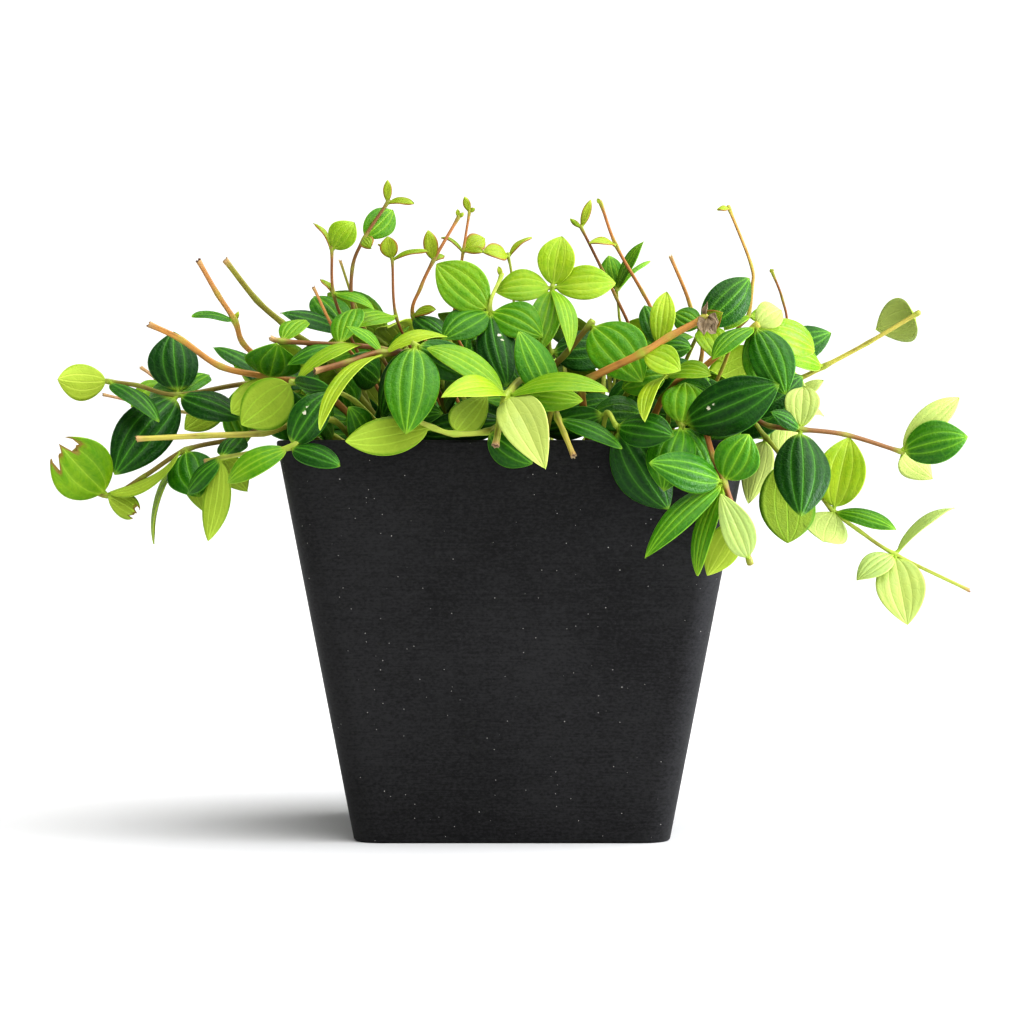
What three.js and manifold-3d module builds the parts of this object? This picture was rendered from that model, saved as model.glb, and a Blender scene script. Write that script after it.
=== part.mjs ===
// A beetle peperomia in a square black pot: a trailing plant with whorls of oval, striped leaves on thin
// four-sided stems. The pot stands on z = 0 with its middle over the origin, +Z up, and -Y is the front.
// All sizes are in millimetres.
import * as THREE from "three";
import { mergeVertices } from "three/addons/utils/BufferGeometryUtils.js";
import Module from "manifold-3d";

const wasm = await Module();
wasm.setup();

// Pot: a tapered square with rounded corners.
const POT_HEIGHT = 121;
const RIM_HALF = 70;
const BASE_HALF = 48;
const CORNER_RADIUS = 9;
const CORNER_STEPS = 3;
const WALL = 3.2;
const FLOOR = 4;
const EDGE_ROUNDING = 1;
const DRAIN_RADIUS = 4;
const DRAIN_OFFSET = 17;
const DRAIN_SIDES = 12;

// Soil, which fills the pot to just under the rim.
const SOIL_TOP = 109;
const SOIL_CROWN = 3;
const SOIL_BUMP = 0.8;
const SOIL_CORNER_STEPS = 2;
const SOIL_SHOULDER = 3;
const SOIL_RINGS = [0.98, 0.62, 0.28];
const GAP = 0.35;
const WALL_GAP = 0.385;
const HOLE_GAP = 0.525;

// Stems stand in plain holes in the soil.
const ROOT_DEPTH = 11;
const ROOT_RISE = 5;
const STEM_STEP = 13;
const TIP_SHARE = 0.72;
const CORNER_SHARE = 1.15;
const NODE_SWELLING = 1.4;
const ROOT_SUNK = 0.35;
const BUD = 1.1;

// Leaves.
const PETIOLE_SHARE = 0.14;
const PETIOLE_MOST = 3.8;
const PETIOLE_HALF = 0.42;
const PETIOLE_FILL = 0.7;
const BLADE_THICKNESS = 1.3;
const BLADE_THICK_SHARE = 0.5;
const MIN_BLADE_HALF = 0.4;
const BLADE_SKEW = 0.85;
const BLADE_BLUNTNESS = 0.75;
const BLADE_ARCH = 0.12;
const LEAST_FACING = 0.2;
const YOUNG_FOLD = 0.3;
const OLD_FOLD = -0.38;
const HUSK_FOLD = 0.9;
const PLAIN_FOLD_SHARE = 0.4;
const SLIM_BLADE = 7;
const WIDE_BLADE = 12;
const WIDE_STATIONS = [0.13, 0.45, 0.8];
const MIDDLE_STATIONS = [0.22, 0.68];
const SLIM_STATIONS = [0.4];

// Elbow room: no blade lies closer than this to another blade or to a stem's skin.
const ELBOW_ROOM = 2.2;
const ROOM_CELL = 4;
const NEAR_NODE = 7;
const POT_ROOM = 1.3;
const SAMPLE_STEP = 2.2;
const STEM_ROOM = 0.7;
const OWN_SHARE = 0.04;
const SHRINKS = [1, 0.86, 0.72];
const TURNS_ASIDE = [7, 14, 22, 30, 40];

// The plant is laid out as it lines up from the front, for an eye this far off and this high.
const EYE_DISTANCE = 930;
const EYE_HEIGHT = 100;
const FRONT = new THREE.Vector3(0, -1, 0);
const UP = new THREE.Vector3(0, 0, 1);
const WAYS = [[0, -1, 0], [0, 1, 0], [0, 0, -1], [0, 0, 1], [-1, 0, 0], [1, 0, 0]]
  .map((way) => new THREE.Vector3(...way));

// What a leaf tries in turn: its size, and how far it turns aside and which way.
const TRIES = SHRINKS.flatMap((shrink) => [
  [shrink, 0, UP],
  ...TURNS_ASIDE.flatMap((aside) => WAYS.map((way) => [shrink, aside, way])),
]);

// How far a stem's first and last stop may lean forth or back to clear its neighbours, least first.
const LEAN_STEPS = [0, 3, -3, 6, -6, 9, -9, 12, -12];
const LEANS = LEAN_STEPS.flatMap((first) => LEAN_STEPS.map((last) => [first, last]))
  .sort((a, b) => Math.abs(a[0]) + Math.abs(a[1]) - Math.abs(b[0]) - Math.abs(b[1]));

// The back and the sides: clumps of two stems that share a root. Headings run from the right, over the back, to
// the left. Every second clump is rooted farther out and reaches less far.
const BACK_CLUMPS = 10;
const BACK_FROM = 18;
const BACK_TO = 162;
const BACK_ROOT = 30;
const BACK_ROOT_STAGGER = 12;
const BACK_DEEPEST = 52;
const BACK_THICKNESS = 1.8;
const BACK_HALF_SPREAD = 70;
const LONG_REACH = 102;
const SHORT_REACH = 84;
const CREST_SHARE = 0.3;
const CRESTS = [132, 146];
const SINKS = [0, 8];
const HANGING_REACH = 90;
const HANGING_SINKS = [16, 48];
const INNER_TURN = 24;
const INNER_REACH = 44;
const INNER_CRESTS = [142, 150];
const INNER_ENDS = [144, 154];
const BARE_STOP = 0.35;

// The leaves behind: how far out along its stem each grows, and how far aside it points.
const BACK_WHORL = [
  [0.42, -80], [0.42, 75], [0.62, -70], [0.62, 80], [0.82, -62], [0.82, 66], [1, 0],
];
const INNER_WHORL = [[0.62, -80], [0.62, 95], [1, -70], [1, 60]];
const BACK_ASIDES = [-14, 14];
const BACK_CLIMBS = [-30, 28];
const BACK_LENGTHS = [21, 27];
const BACK_WIDTHS = [12.5, 17];
const BACK_TURNS = [15, 70];
const BACK_AGES = [0, 1];
const BACK_SEED = 7;

// Leaves deep in the bush, low on each stem that is laid out from the front: how far up to its first stop each
// grows, and the least and most that it climbs.
const DEEP_PLACES = [[1, [-15, 45]], [0.45, [-8, 20]]];
const DEEP_ASIDES = [-65, 65];
const DEEP_LENGTHS = [19, 25];
const DEEP_WIDTHS = [12, 16];
const DEEP_TURNS = [0, 60];
const DEEP_AGES = [0.6, 1];
const DEEP_MIDDLE = 12;
const DEEP_SEED = 41;

const DRAW_STEP = 16807;
const DRAW_SPAN = 2147483647;
const DEGREE = Math.PI / 180;

// A leaf as seen from the front: where its tip lines up at the pot's mid-plane, how far back the tip lies, the
// blade's width, how far its upper face turns from the viewer towards the sky, and its age from 0 to 1.
const leaf = (across, up, back, width, turn, age) => ({ tip: seen(across, up, back), width, turn, age });

// The point that lines up with (across, up) at the pot's mid-plane, moved along the line of sight to its depth.
function seen(across, up, back) {
  const share = (EYE_DISTANCE + back) / EYE_DISTANCE;
  return new THREE.Vector3(across * share, back, EYE_HEIGHT + (up - EYE_HEIGHT) * share);
}

// Each stem has its root's place in the soil, its thickness, and its stops from the soil to the tip. A stop is
// [across, up, back], as seen from the front, with the leaves that grow there.
const FRONT_STEMS = {
  reach_left: [[-40, -8], 1.9, [
    [-62, 140, -12],
    [-84, 140.5, -20],
    [-106, 137, -28, leaf(-107.5, 157, -24, 16.5, 15, 1), leaf(-86, 129.5, -36, 13, 40, 1),
      leaf(-123, 110, -44, 18, 5, 1), leaf(-115.5, 134.5, -12, 12, 20, 0.7), leaf(-96, 143, -10, 9, 30, 0.6)],
    [-119, 140, -30],
    [-128, 141.2, -32, leaf(-144.2, 142, -38, 12, 185, 0.1), leaf(-112, 128.5, -48, 11, 62, 0.9)],
  ]],
  cut_left_thin: [[-34, -20], 1.2, [
    [-66, 133, -14],
    [-85, 131.5, -6],
    [-104, 131.5, -6],
    [-129.5, 137, -8],
  ]],
  behind_left: [[-46, 22], 1.5, [
    [-72, 136, 24],
    [-90, 135, 24, leaf(-84, 122, 30, 11, 10, 0.5), leaf(-104, 126, 22, 11, 170, 0.4)],
    [-108, 139.5, 20, leaf(-121, 133, 14, 11, 10, 0.35), leaf(-113, 144.5, 26, 7, 20, 0.3)],
    [-117.5, 145.5, 22],
  ]],
  reach_low_left: [[-52, -26], 1.8, [
    [-72, 127.5, -32],
    [-88, 123, -36],
    [-103.5, 119.5, -42, leaf(-99.5, 104.5, -56, 15.5, 0, 0.75), leaf(-97.3, 99.5, -34, 11, 175, 0.4),
      leaf(-113.5, 89.5, -42, 9, 72, 0.2)],
    [-117, 111, -42],
    [-128.5, 105, -42, leaf(-142, 126, -50, 20, 10, 0.3), leaf(-105.5, 119, -58, 10, 245, 0.3),
      leaf(-118.5, 99, -50, 8, 180, 0.3)],
    [-140, 110.5, -44],
  ]],
  cut_left_yellow: [[-44, -40], 2.1, [
    [-66, 127.5, -52],
    [-79, 124.8, -58],
    [-98, 124, -60],
    [-119, 123, -60],
  ]],
  hang_left: [[-44, -54], 1.8, [
    [-57, 129, -64],
    [-66, 124.6, -77],
    [-70.5, 120.3, -80, leaf(-54.5, 114.5, -88, 9, 35, 1), leaf(-58, 138, -78, 11.5, 0, 0.95),
      leaf(-90.5, 109, -78, 9, 25, 0.45)],
    [-83, 118.5, -74],
    [-92, 117, -62, leaf(-96.5, 90.5, -64, 8.5, 180, 0.3), leaf(-84.5, 107.5, -48, 10, 180, 0.4),
      leaf(-98.5, 109, -50, 8, 40, 0.9), leaf(-86, 123.5, -48, 9, 30, 0.95)],
    [-97, 116, -56],
  ]],
  cut_left_thick: [[-38, -30], 2.5, [
    [-60, 138, -34],
    [-77, 142.5, -38, leaf(-95, 152, -32, 10, 62, 0.9), leaf(-73.5, 155, -50, 18, -12, 0.6),
      leaf(-89, 131, -50, 10, 175, 0.35)],
    [-92.5, 146, -42],
    [-105, 154.5, -42],
    [-115, 159.3, -42],
  ]],
  stub_left_front: [[-32, -46], 1.8, [
    [-50, 135, -58],
    [-62, 139.5, -64],
    [-69.5, 141, -66, leaf(-86, 127.5, -66, 16, 180, 0.45), leaf(-46.5, 150.3, -62, 9, 60, 0.2),
      leaf(-57.5, 139, -76, 8, -50, 1)],
  ]],
  cut_left_tall_orange: [[-48, 2], 2.2, [
    [-66, 141, 0],
    [-79, 148, -4],
    [-85.5, 153.5, -6],
    [-88, 160.5, -8, leaf(-101.7, 162, -14, 7, 65, 0.8), leaf(-86.8, 163.5, -8, 1.6, 0, 0.2)],
    [-93.5, 169, -10],
    [-99.5, 179.5, -12],
  ]],
  cut_left_tall_olive: [[-34, 10], 2.6, [
    [-56, 146, 6],
    [-70, 157, 2],
    [-72.5, 159.5, 0],
    [-81, 167, -2],
    [-91, 179.7, -6],
  ]],
  cut_mid_left_slim: [[-22, -20], 1.3, [
    [-42, 141, -28],
    [-54.5, 154.5, -38],
    [-63, 171, -44],
  ]],
  lying_brown: [[-14, -34], 1.9, [
    [-28, 146, -44],
    [-41, 151.5, -50],
    [-54.5, 152.8, -52, leaf(-71, 146, -50, 9, 50, 0.8), leaf(-50, 163, -36, 11, 30, 0.5)],
    [-73, 154, -50, leaf(-65, 160.5, -40, 9, 40, 0.4)],
    [-76.5, 155, -50],
  ]],
  cut_front_brown: [[-20, -48], 2.3, [
    [-30, 146.5, -56],
    [-41, 150.3, -62, leaf(-20.5, 155.5, -58, 8, 58, 0.12), leaf(-54.5, 156, -60, 7, 60, 0.5),
      leaf(-62.5, 123.5, -90, 8, 50, 0.1)],
    [-52, 147.3, -68],
    [-62.5, 144.5, -72],
  ]],
  hang_striped: [[-8, -54], 1.6, [
    [-20, 146, -62],
    [-30.8, 153, -68, leaf(-33.5, 124.5, -86, 17, 0, 0.62), leaf(-47, 141, -50, 10, 20, 1),
      leaf(-12, 143, -64, 12, 10, 0.85)],
  ]],
  along_rim: [[-2, -58], 2, [
    [-1, 128.5, -64, leaf(-31, 124.6, -60, 11, 10, 0.95)],
    [-8, 125.3, -75, leaf(6.5, 115, -76, 12, 5, 0.85)],
    [-18.5, 124.6, -78, leaf(-8, 137, -64, 11, 185, 0.35)],
    [-25, 126.5, -79, leaf(-53, 122.3, -82, 12, 190, 0.35)],
    [-31.5, 129.5, -80],
  ]],
  centre_whorl: [[8, -42], 2.5, [
    [5, 141, -54],
    [-1.5, 137, -70, leaf(10.5, 113.5, -95, 14.5, 0, 0), leaf(30.5, 138.3, -84, 11, 55, 0.3),
      leaf(22.5, 135, -68, 9, 10, 0.35), leaf(-27, 152, -70, 12, 45, 0.35), leaf(-22.5, 136, -96, 10, 45, 0.12)],
    [-3.6, 130, -74],
    [-5.2, 121, -82],
  ]],
  stub_front: [[9, -54], 1.9, [
    [13, 134, -64],
    [14.5, 129.5, -74, leaf(36, 122.5, -80, 10, 55, 0.85)],
    [16.5, 125, -79],
    [19.5, 117.7, -82],
  ]],
  centre_tall_whorl: [[2, -24], 1.6, [
    [-2, 145, -34],
    [-7, 163.5, -46, leaf(-1.5, 139.5, -60, 12.5, 0, 1), leaf(-24, 178.5, -46, 15.5, 10, 0.35),
      leaf(10.5, 155, -52, 13.5, 20, 0.5), leaf(-22, 154.5, -54, 13, 30, 0.7)],
    [-3.5, 174.5, -44, leaf(-4.3, 177.8, -44, 1.7, 0, 0.2)],
  ]],
  lime_whorl: [[15, -16], 1.5, [
    [12, 150, -28],
    [12.8, 171, -40, leaf(15.8, 187.3, -38, 12, 0, 0.1), leaf(33, 172.5, -38, 12, 20, 0.15),
      leaf(-4.5, 170, -46, 11.5, 25, 0.2), leaf(19.4, 144, -58, 7, 30, 0.35), leaf(7.5, 149.5, -52, 10, 0, 0.4)],
  ]],
  shoot_far_left: [[-30, 0], 1.3, [
    [-46, 145, -12],
    [-52, 157, -18, leaf(-73.5, 163, -24, 11, 60, 1), leaf(-63, 168, -2, 12, 30, 0.7)],
    [-56.7, 169.3, -22, leaf(-43.5, 164, -26, 7, 60, 0.5), leaf(-61, 173.5, -18, 3.5, 60, 0.4)],
    [-57.2, 183, -22, leaf(-50, 191.8, -22, 9.5, 0, 0.2), leaf(-63, 191.5, -20, 2.6, 60, 0.3),
      leaf(-49.8, 187, -14, 4, 60, 0.3)],
  ]],
  shoot_highest: [[-22, 14], 1.5, [
    [-42, 150, 4],
    [-50, 163, -4],
    [-50.7, 177, -4],
    [-47, 186.5, -4, leaf(-44.7, 183.6, -10, 5, 0, 0.5), leaf(-38, 195.7, 4, 10, 0, 0.5)],
    [-39.5, 198, -2, leaf(-39.5, 205.3, -2, 3, 0, 0.2), leaf(-31, 197.6, -4, 3.6, 40, 0.3)],
  ]],
  cut_left_back_slim: [[-38, 20], 1.2, [
    [-44, 150, 14],
    [-50, 166, 10],
    [-54.5, 179.5, 8],
  ]],
  shoot_left_of_centre: [[-14, 4], 1.2, [
    [-30, 148, -4],
    [-36.8, 162, -12, leaf(-53, 157.5, -26, 11, 50, 0.4)],
    [-38, 180, -12, leaf(-39.6, 187.3, -12, 6, 0, 0.15), leaf(-26.5, 182.6, -14, 3.2, 50, 0.5),
      leaf(-43, 185, -8, 2.4, 60, 0.3)],
  ]],
  shoot_forked: [[-8, 14], 1.4, [
    [-24, 148, 2],
    [-31.5, 162, -4, leaf(-24, 164, -10, 4.5, 40, 0.4), leaf(-20.5, 155, -14, 9, 30, 0.95)],
    [-29, 171, -6],
    [-25, 179.5, -6, leaf(-26.6, 189.3, -6, 5, 0, 0.15), leaf(-21.5, 181, -2, 3, 40, 0.5)],
    [-17, 193.3, -4, leaf(-17.3, 196, -4, 1.5, 0, 0.2), leaf(-15.3, 194.8, -4, 1.5, 0, 0.3)],
  ]],
  shoot_centre: [[-2, 26], 1.2, [
    [-14, 148, 14],
    [-18.5, 158.5, 10],
    [-17.3, 170, 8],
    [-15.5, 182.5, 8, leaf(-8.5, 186.5, 12, 7, 0, 0.2), leaf(-9, 182, 2, 4.5, 50, 0.4),
      leaf(-22.5, 187, 12, 2.6, 60, 0.5)],
    [-13.5, 195, 8, leaf(-15, 200, 8, 2.6, 0, 0.15), leaf(-11.7, 196.2, 8, 1.6, 0, 0.3)],
  ]],
  shoot_by_centre: [[7, 16], 1.2, [
    [2, 150, 6],
    [0, 174, -4],
    [-1.2, 181, -6, leaf(-9.3, 182.5, -12, 7, 35, 0.15), leaf(6.3, 187, -4, 3, 50, 0.2)],
  ]],
  shoot_right_of_centre: [[27, 4], 1.3, [
    [36, 147, -4],
    [38, 156, -6],
    [33, 168, -8],
    [28.5, 177, -8],
    [22, 190, -8, leaf(25, 199, -8, 3, 0, 0.15), leaf(18.3, 193, -8, 1.8, 0, 0.6)],
  ]],
  shoot_right: [[38, 14], 1.4, [
    [47, 150, 4],
    [44.5, 163, -2],
    [41.5, 169.5, -2],
    [33, 184.5, -4, leaf(23, 184.7, -10, 4.5, 50, 0.2)],
    [28.3, 197.5, -4, leaf(27, 199.3, -4, 1.5, 0, 0.2)],
  ]],
  shoot_right_behind: [[28, 26], 1.1, [
    [34.5, 152, 16],
    [34, 162, 12],
    [33.2, 170, 8, leaf(42, 185.7, 2, 5.5, 45, 0.6), leaf(30.7, 181.3, 10, 8, 0, 0.55),
      leaf(44, 179.3, 14, 2.8, 50, 0.6)],
  ]],
  cut_right_slim: [[46, -4], 1.6, [
    [60, 148, -14],
    [56.5, 165.5, -18],
    [50.4, 180.8, -20],
  ]],
  cut_centre_olive: [[5, -33], 2.3, [
    [6, 137, -42],
    [11, 144, -48],
    [17, 150, -52],
    [25, 159.6, -58, leaf(41.5, 141, -70, 18, 5, 0.5)],
  ]],
  cut_right_brown: [[24, -49], 2.6, [
    [22, 139, -60],
    [25, 142.3, -70],
    [41.5, 150.3, -76, leaf(53.5, 144.5, -78, 10, 20, 0.15)],
    [50, 155.5, -76],
    [61, 161.3, -76, leaf(64.5, 157, -78, 6, 0, 2), leaf(62.5, 166.5, -76, 2, 0, 2),
      leaf(60.8, 156.5, -80, 4, 0, 2)],
  ]],
  upright_lime: [[30, -28], 1.5, [
    [38, 141, -42],
    [46.5, 152, -54, leaf(49, 169.7, -50, 8, 0, 0.12), leaf(42, 165.5, -42, 8, 10, 0.85),
      leaf(57, 152, -58, 9, 30, 0.8)],
  ]],
  behind_husk: [[42, -16], 1.6, [
    [54, 145, -26],
    [60, 158.5, -36, leaf(75.3, 174, -30, 13.5, 0, 0.85), leaf(51.5, 162.8, -32, 9, 15, 0.6),
      leaf(66.5, 147.5, -50, 10, 10, 0.25), leaf(67, 163, -44, 7, 10, 0.4)],
  ]],
  cut_right_thick: [[38, -46], 2.3, [
    [49, 138, -56],
    [58, 143.5, -62],
    [67, 151, -68],
    [77.3, 158.8, -72, leaf(87, 137, -84, 13.5, 0, 0.8), leaf(85.3, 164, -68, 9, 10, 0.1),
      leaf(63.5, 148, -80, 9, 50, 0.6), leaf(96, 151, -56, 11, 20, 0.1), leaf(79.5, 139, -66, 12, 0, 0.5)],
  ]],
  shoot_far_right: [[54, 2], 1.3, [
    [67, 146, -10],
    [71, 157, -16],
    [75, 162, -18, leaf(87, 159.5, -12, 9, 35, 0.3), leaf(67.5, 157.5, -26, 7, 50, 0.4)],
    [76.2, 171, -18],
    [76, 178, -18],
    [69, 196, -18, leaf(65, 195.6, -20, 2.4, 40, 0.1)],
  ]],
  shoot_edge_right: [[56, 16], 1.1, [
    [81, 147, 6],
    [87, 158.5, 0],
    [85.8, 167.5, -2],
    [82.8, 175.5, -4, leaf(82, 177, -4, 1.5, 0, 0.2)],
  ]],
  over_rim_right: [[46, -56], 1.9, [
    [50, 131, -66],
    [53.8, 127.3, -76, leaf(86, 136.5, -90, 17, 5, 1), leaf(48, 106.5, -88, 15, 15, 0.7),
      leaf(66.5, 112.5, -76, 10, 20, 0.75), leaf(68, 121.5, -73, 8, 50, 0.9), leaf(55, 141, -72, 15, 0, 0.45)],
  ]],
  hang_right: [[57, -46], 1.9, [
    [60, 131, -62],
    [61.5, 125.3, -76],
    [64, 117, -85],
    [67.3, 109.3, -88, leaf(43.5, 115.5, -100, 12.5, 20, 0.72), leaf(75.2, 124.5, -90, 14, 0, 0.6),
      leaf(42.2, 85, -97, 9, 30, 0.65), leaf(58.8, 79.5, -86, 8.5, 45, 0.5), leaf(57.5, 98, -80, 8, 180, 0.3)],
    [71.5, 97, -86, leaf(62, 79.5, -80, 10.5, 180, 0.15)],
    [75.4, 84.2, -84, leaf(66.3, 105.5, -97, 10, 0, 0.3)],
  ]],
  hang_right_dark: [[26, -58], 1.7, [
    [30, 131, -66, leaf(5, 124.8, -64, 10, 0, 0.95)],
    [33, 127.3, -76, leaf(39.5, 96.5, -72, 17, 0, 1), leaf(51, 121, -90, 12, 20, 0.95)],
  ]],
  right_filler: [[24, -40], 1.6, [
    [37, 138, -52],
    [49.5, 143.5, -66, leaf(27.5, 129.5, -88, 9, 55, 0.1), leaf(63, 141, -78, 9, 45, 0.3),
      leaf(35, 139, -62, 12, 25, 0.55)],
  ]],
  reach_right_high: [[58, -14], 1.7, [
    [75, 135, -24],
    [91, 142, -30],
    [99, 146, -32, leaf(81.5, 150, -42, 11, 35, 0.1)],
    [113, 153.5, -34],
    [128.5, 162.7, -36, leaf(115.5, 158, -22, 15, 175, 0.6)],
  ]],
  reach_right: [[58, -34], 1.6, [
    [73, 129.5, -50],
    [82, 127, -58],
    [91.5, 126, -64, leaf(91.7, 98.5, -80, 17.5, 0, 1), leaf(82, 131.5, -70, 6, 30, 1),
      leaf(92.5, 139.5, -54, 11, 10, 0.1)],
    [106, 124.3, -62],
    [123.3, 119, -58, leaf(144.7, 123.7, -62, 13.5, 0, 0.7), leaf(142, 136, -54, 9, 20, 0.12),
      leaf(133.5, 110.5, -48, 11, 180, 0.2)],
  ]],
  reach_low_right: [[60, -24], 1.5, [
    [74, 129, -34],
    [80.5, 123.5, -42, leaf(74.5, 103.5, -28, 10, 180, 0.1)],
    [86.5, 116.5, -46, leaf(87.8, 90, -62, 18, 175, 0.55)],
    [97, 106, -48],
    [102, 100, -50, leaf(107, 123.5, -50, 15.5, 0, 0.1), leaf(99, 90.3, -60, 15, 180, 0.4),
      leaf(122, 94, -58, 8, 45, 0.65)],
    [110, 94, -50],
    [121.3, 86.5, -50, leaf(125.5, 64, -58, 15.5, 0, 0.12), leaf(109.5, 78, -58, 9, 35, 0.3),
      leaf(140.5, 101, -44, 5.5, 60, 0.3)],
    [145, 75, -50],
  ]],
  pale_right: [[60, 2], 1.4, [
    [77, 135, -4],
    [88, 132.5, -8, leaf(99, 141.5, -10, 6, 40, 0.15), leaf(99, 130.3, -2, 6, 50, 0.2),
      leaf(87, 146, -16, 11, 0, 0.1), leaf(86, 117, -16, 10, 170, 0.2)],
  ]],
};

// A repeatable random draw between two values.
function drawer(seed) {
  let state = seed;
  return (low, high) => {
    state = (state * DRAW_STEP) % DRAW_SPAN;
    return low + ((high - low) * state) / DRAW_SPAN;
  };
}

// A direction from its heading, with 0 to the right and 90 to the back, and its climb above level.
function direction(heading, climb) {
  const level = Math.cos(climb * DEGREE);
  return new THREE.Vector3(
    level * Math.cos(heading * DEGREE),
    level * Math.sin(heading * DEGREE),
    Math.sin(climb * DEGREE),
  );
}

// Half the pot's outer width at a height.
const outerHalf = (z) => BASE_HALF + ((RIM_HALF - BASE_HALF) * z) / POT_HEIGHT;

// How far a point lies outside a rounded square about the middle, or inside it where negative.
function squareDistance(x, y, half, radius) {
  const a = Math.abs(x) - (half - radius);
  const b = Math.abs(y) - (half - radius);
  return a > 0 && b > 0 ? Math.hypot(a, b) - radius : Math.max(a, b) - radius;
}

// The soil's height: slightly crowned and uneven.
function soilHeight(x, y) {
  const crown = SOIL_CROWN * (1 - (x * x + y * y) / (2 * RIM_HALF * RIM_HALF));
  return SOIL_TOP + crown + SOIL_BUMP * Math.sin(x * 0.31 + y * 0.17) * Math.cos(y * 0.23 - x * 0.11);
}

// Whether a point is clear of the pot's wall and of the soil.
function clearOfPot(point) {
  if (point.z > POT_HEIGHT + POT_ROOM) return true;
  const outside = squareDistance(point.x, point.y, outerHalf(point.z), CORNER_RADIUS);
  if (outside > POT_ROOM) return true;
  return outside < -WALL - POT_ROOM && point.z > soilHeight(point.x, point.y) + POT_ROOM;
}

// Points that are taken up by stems and blades, found by the cell that they lie in.
class Room {
  constructor() {
    this.cells = new Map();
  }

  add(point, reach, stem) {
    const key = [point.x, point.y, point.z].map((value) => Math.floor(value / ROOM_CELL)).join();
    if (!this.cells.has(key)) this.cells.set(key, []);
    this.cells.get(key).push({ point, reach, stem });
  }

  // How many taken points lie too near this one. Its own stem doesn't count close to where it grows.
  conflicts(point, reach, stem, origin) {
    const [i, j, k] = [point.x, point.y, point.z].map((value) => Math.floor(value / ROOM_CELL));
    let count = 0;
    for (let a = i - 1; a <= i + 1; a += 1) {
      for (let b = j - 1; b <= j + 1; b += 1) {
        for (let c = k - 1; c <= k + 1; c += 1) {
          for (const taken of this.cells.get([a, b, c].join()) ?? []) {
            if (taken.point.distanceTo(point) >= taken.reach + reach) continue;
            const own = taken.stem === stem;
            if (own && (!origin || taken.point.distanceTo(origin) < NEAR_NODE)) continue;
            count += own ? OWN_SHARE : 1;
          }
        }
      }
    }
    return count;
  }
}

// One stem's path through its stops, at even steps. The foot stands straight in the soil.
function stemPath(root, stops, lean) {
  const collar = new THREE.Vector3(root[0], root[1], SOIL_TOP + SOIL_CROWN + ROOT_RISE);
  const last = Math.max(stops.length - 1, 1);
  const shifts = stops.map((stop, index) => lean[0] + ((lean[1] - lean[0]) * index) / last);
  const places = stops.map((stop, index) => stop.point.clone().setY(stop.point.y + shifts[index]));
  const curve = new THREE.CatmullRomCurve3([collar, ...places], false, "catmullrom", 0.5);
  const rings = [{ point: new THREE.Vector3(root[0], root[1], SOIL_TOP - ROOT_DEPTH), node: false }];
  rings.push({ point: collar, node: false });
  let firstSteps = 0;
  for (let index = 0; index < places.length; index += 1) {
    const from = index === 0 ? collar : places[index - 1];
    const steps = Math.max(1, Math.round(from.distanceTo(places[index]) / STEM_STEP));
    if (index === 0) firstSteps = steps;
    for (let step = 1; step <= steps; step += 1) {
      const point = curve.getPoint((index + step / steps) / places.length);
      rings.push({ point, node: step === steps && stops[index].leaves.length > 0 });
    }
  }
  const end = rings[rings.length - 1];
  const before = rings[rings.length - 2].point;
  if (end.node) end.point = end.point.clone().addScaledVector(end.point.clone().sub(before).normalize(), BUD);
  return { rings, places, shifts, firstSteps };
}

// Points close together along a stem's path, above its foot.
function stemSamples(rings) {
  const samples = [];
  for (let index = 1; index < rings.length - 1; index += 1) {
    const steps = Math.ceil(rings[index].point.distanceTo(rings[index + 1].point) / SAMPLE_STEP);
    for (let step = 0; step < steps; step += 1) {
      samples.push(rings[index].point.clone().lerp(rings[index + 1].point, step / steps));
    }
  }
  samples.push(rings[rings.length - 1].point.clone());
  return samples;
}

// Leans a stem as a whole, back or forth, until it is clear of those that already stand.
function placeStem(room, stem) {
  let best = null;
  for (const lean of LEANS) {
    const path = stemPath(stem.root, stem.stops, lean);
    const samples = stemSamples(path.rings);
    let count = 0;
    for (const sample of samples) {
      count += room.conflicts(sample, stem.thickness / 2 + STEM_ROOM, stem.clump, null);
      if (!clearOfPot(sample)) count += 1;
    }
    if (!best || count < best.count) best = { path, samples, count };
    if (count === 0) break;
  }
  for (const sample of best.samples) room.add(sample, stem.thickness / 2, stem.clump);
  stem.path = best.path;
}

// How full a blade is from its base, 0, to its tip, 1.
const fullness = (share) => Math.sin(Math.PI * share ** BLADE_SKEW) ** BLADE_BLUNTNESS;

// A blade's axes, its size and its bend, for a base, a tip and a facing.
function bladeFrame(base, axis, length, { width, turn, age, facing, plain }) {
  let towards = facing.clone().addScaledVector(axis, -facing.dot(axis));
  if (towards.length() < LEAST_FACING) towards = UP.clone().addScaledVector(axis, -UP.dot(axis));
  towards.normalize();
  const upwards = new THREE.Vector3().crossVectors(axis, towards);
  if (upwards.z < 0) upwards.negate();
  const normal = towards.multiplyScalar(Math.cos(turn * DEGREE))
    .addScaledVector(upwards, Math.sin(turn * DEGREE));
  const side = new THREE.Vector3().crossVectors(normal, axis);
  const petiole = Math.min(PETIOLE_MOST, PETIOLE_SHARE * length);
  const fold = (YOUNG_FOLD + (OLD_FOLD - YOUNG_FOLD) * Math.min(age, 1)) * (plain ? PLAIN_FOLD_SHARE : 1);
  return {
    base,
    axis,
    normal,
    side,
    petiole,
    plain,
    blade: length - petiole,
    half: width / 2,
    fold: age > 1 ? HUSK_FOLD : fold,
  };
}

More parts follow.
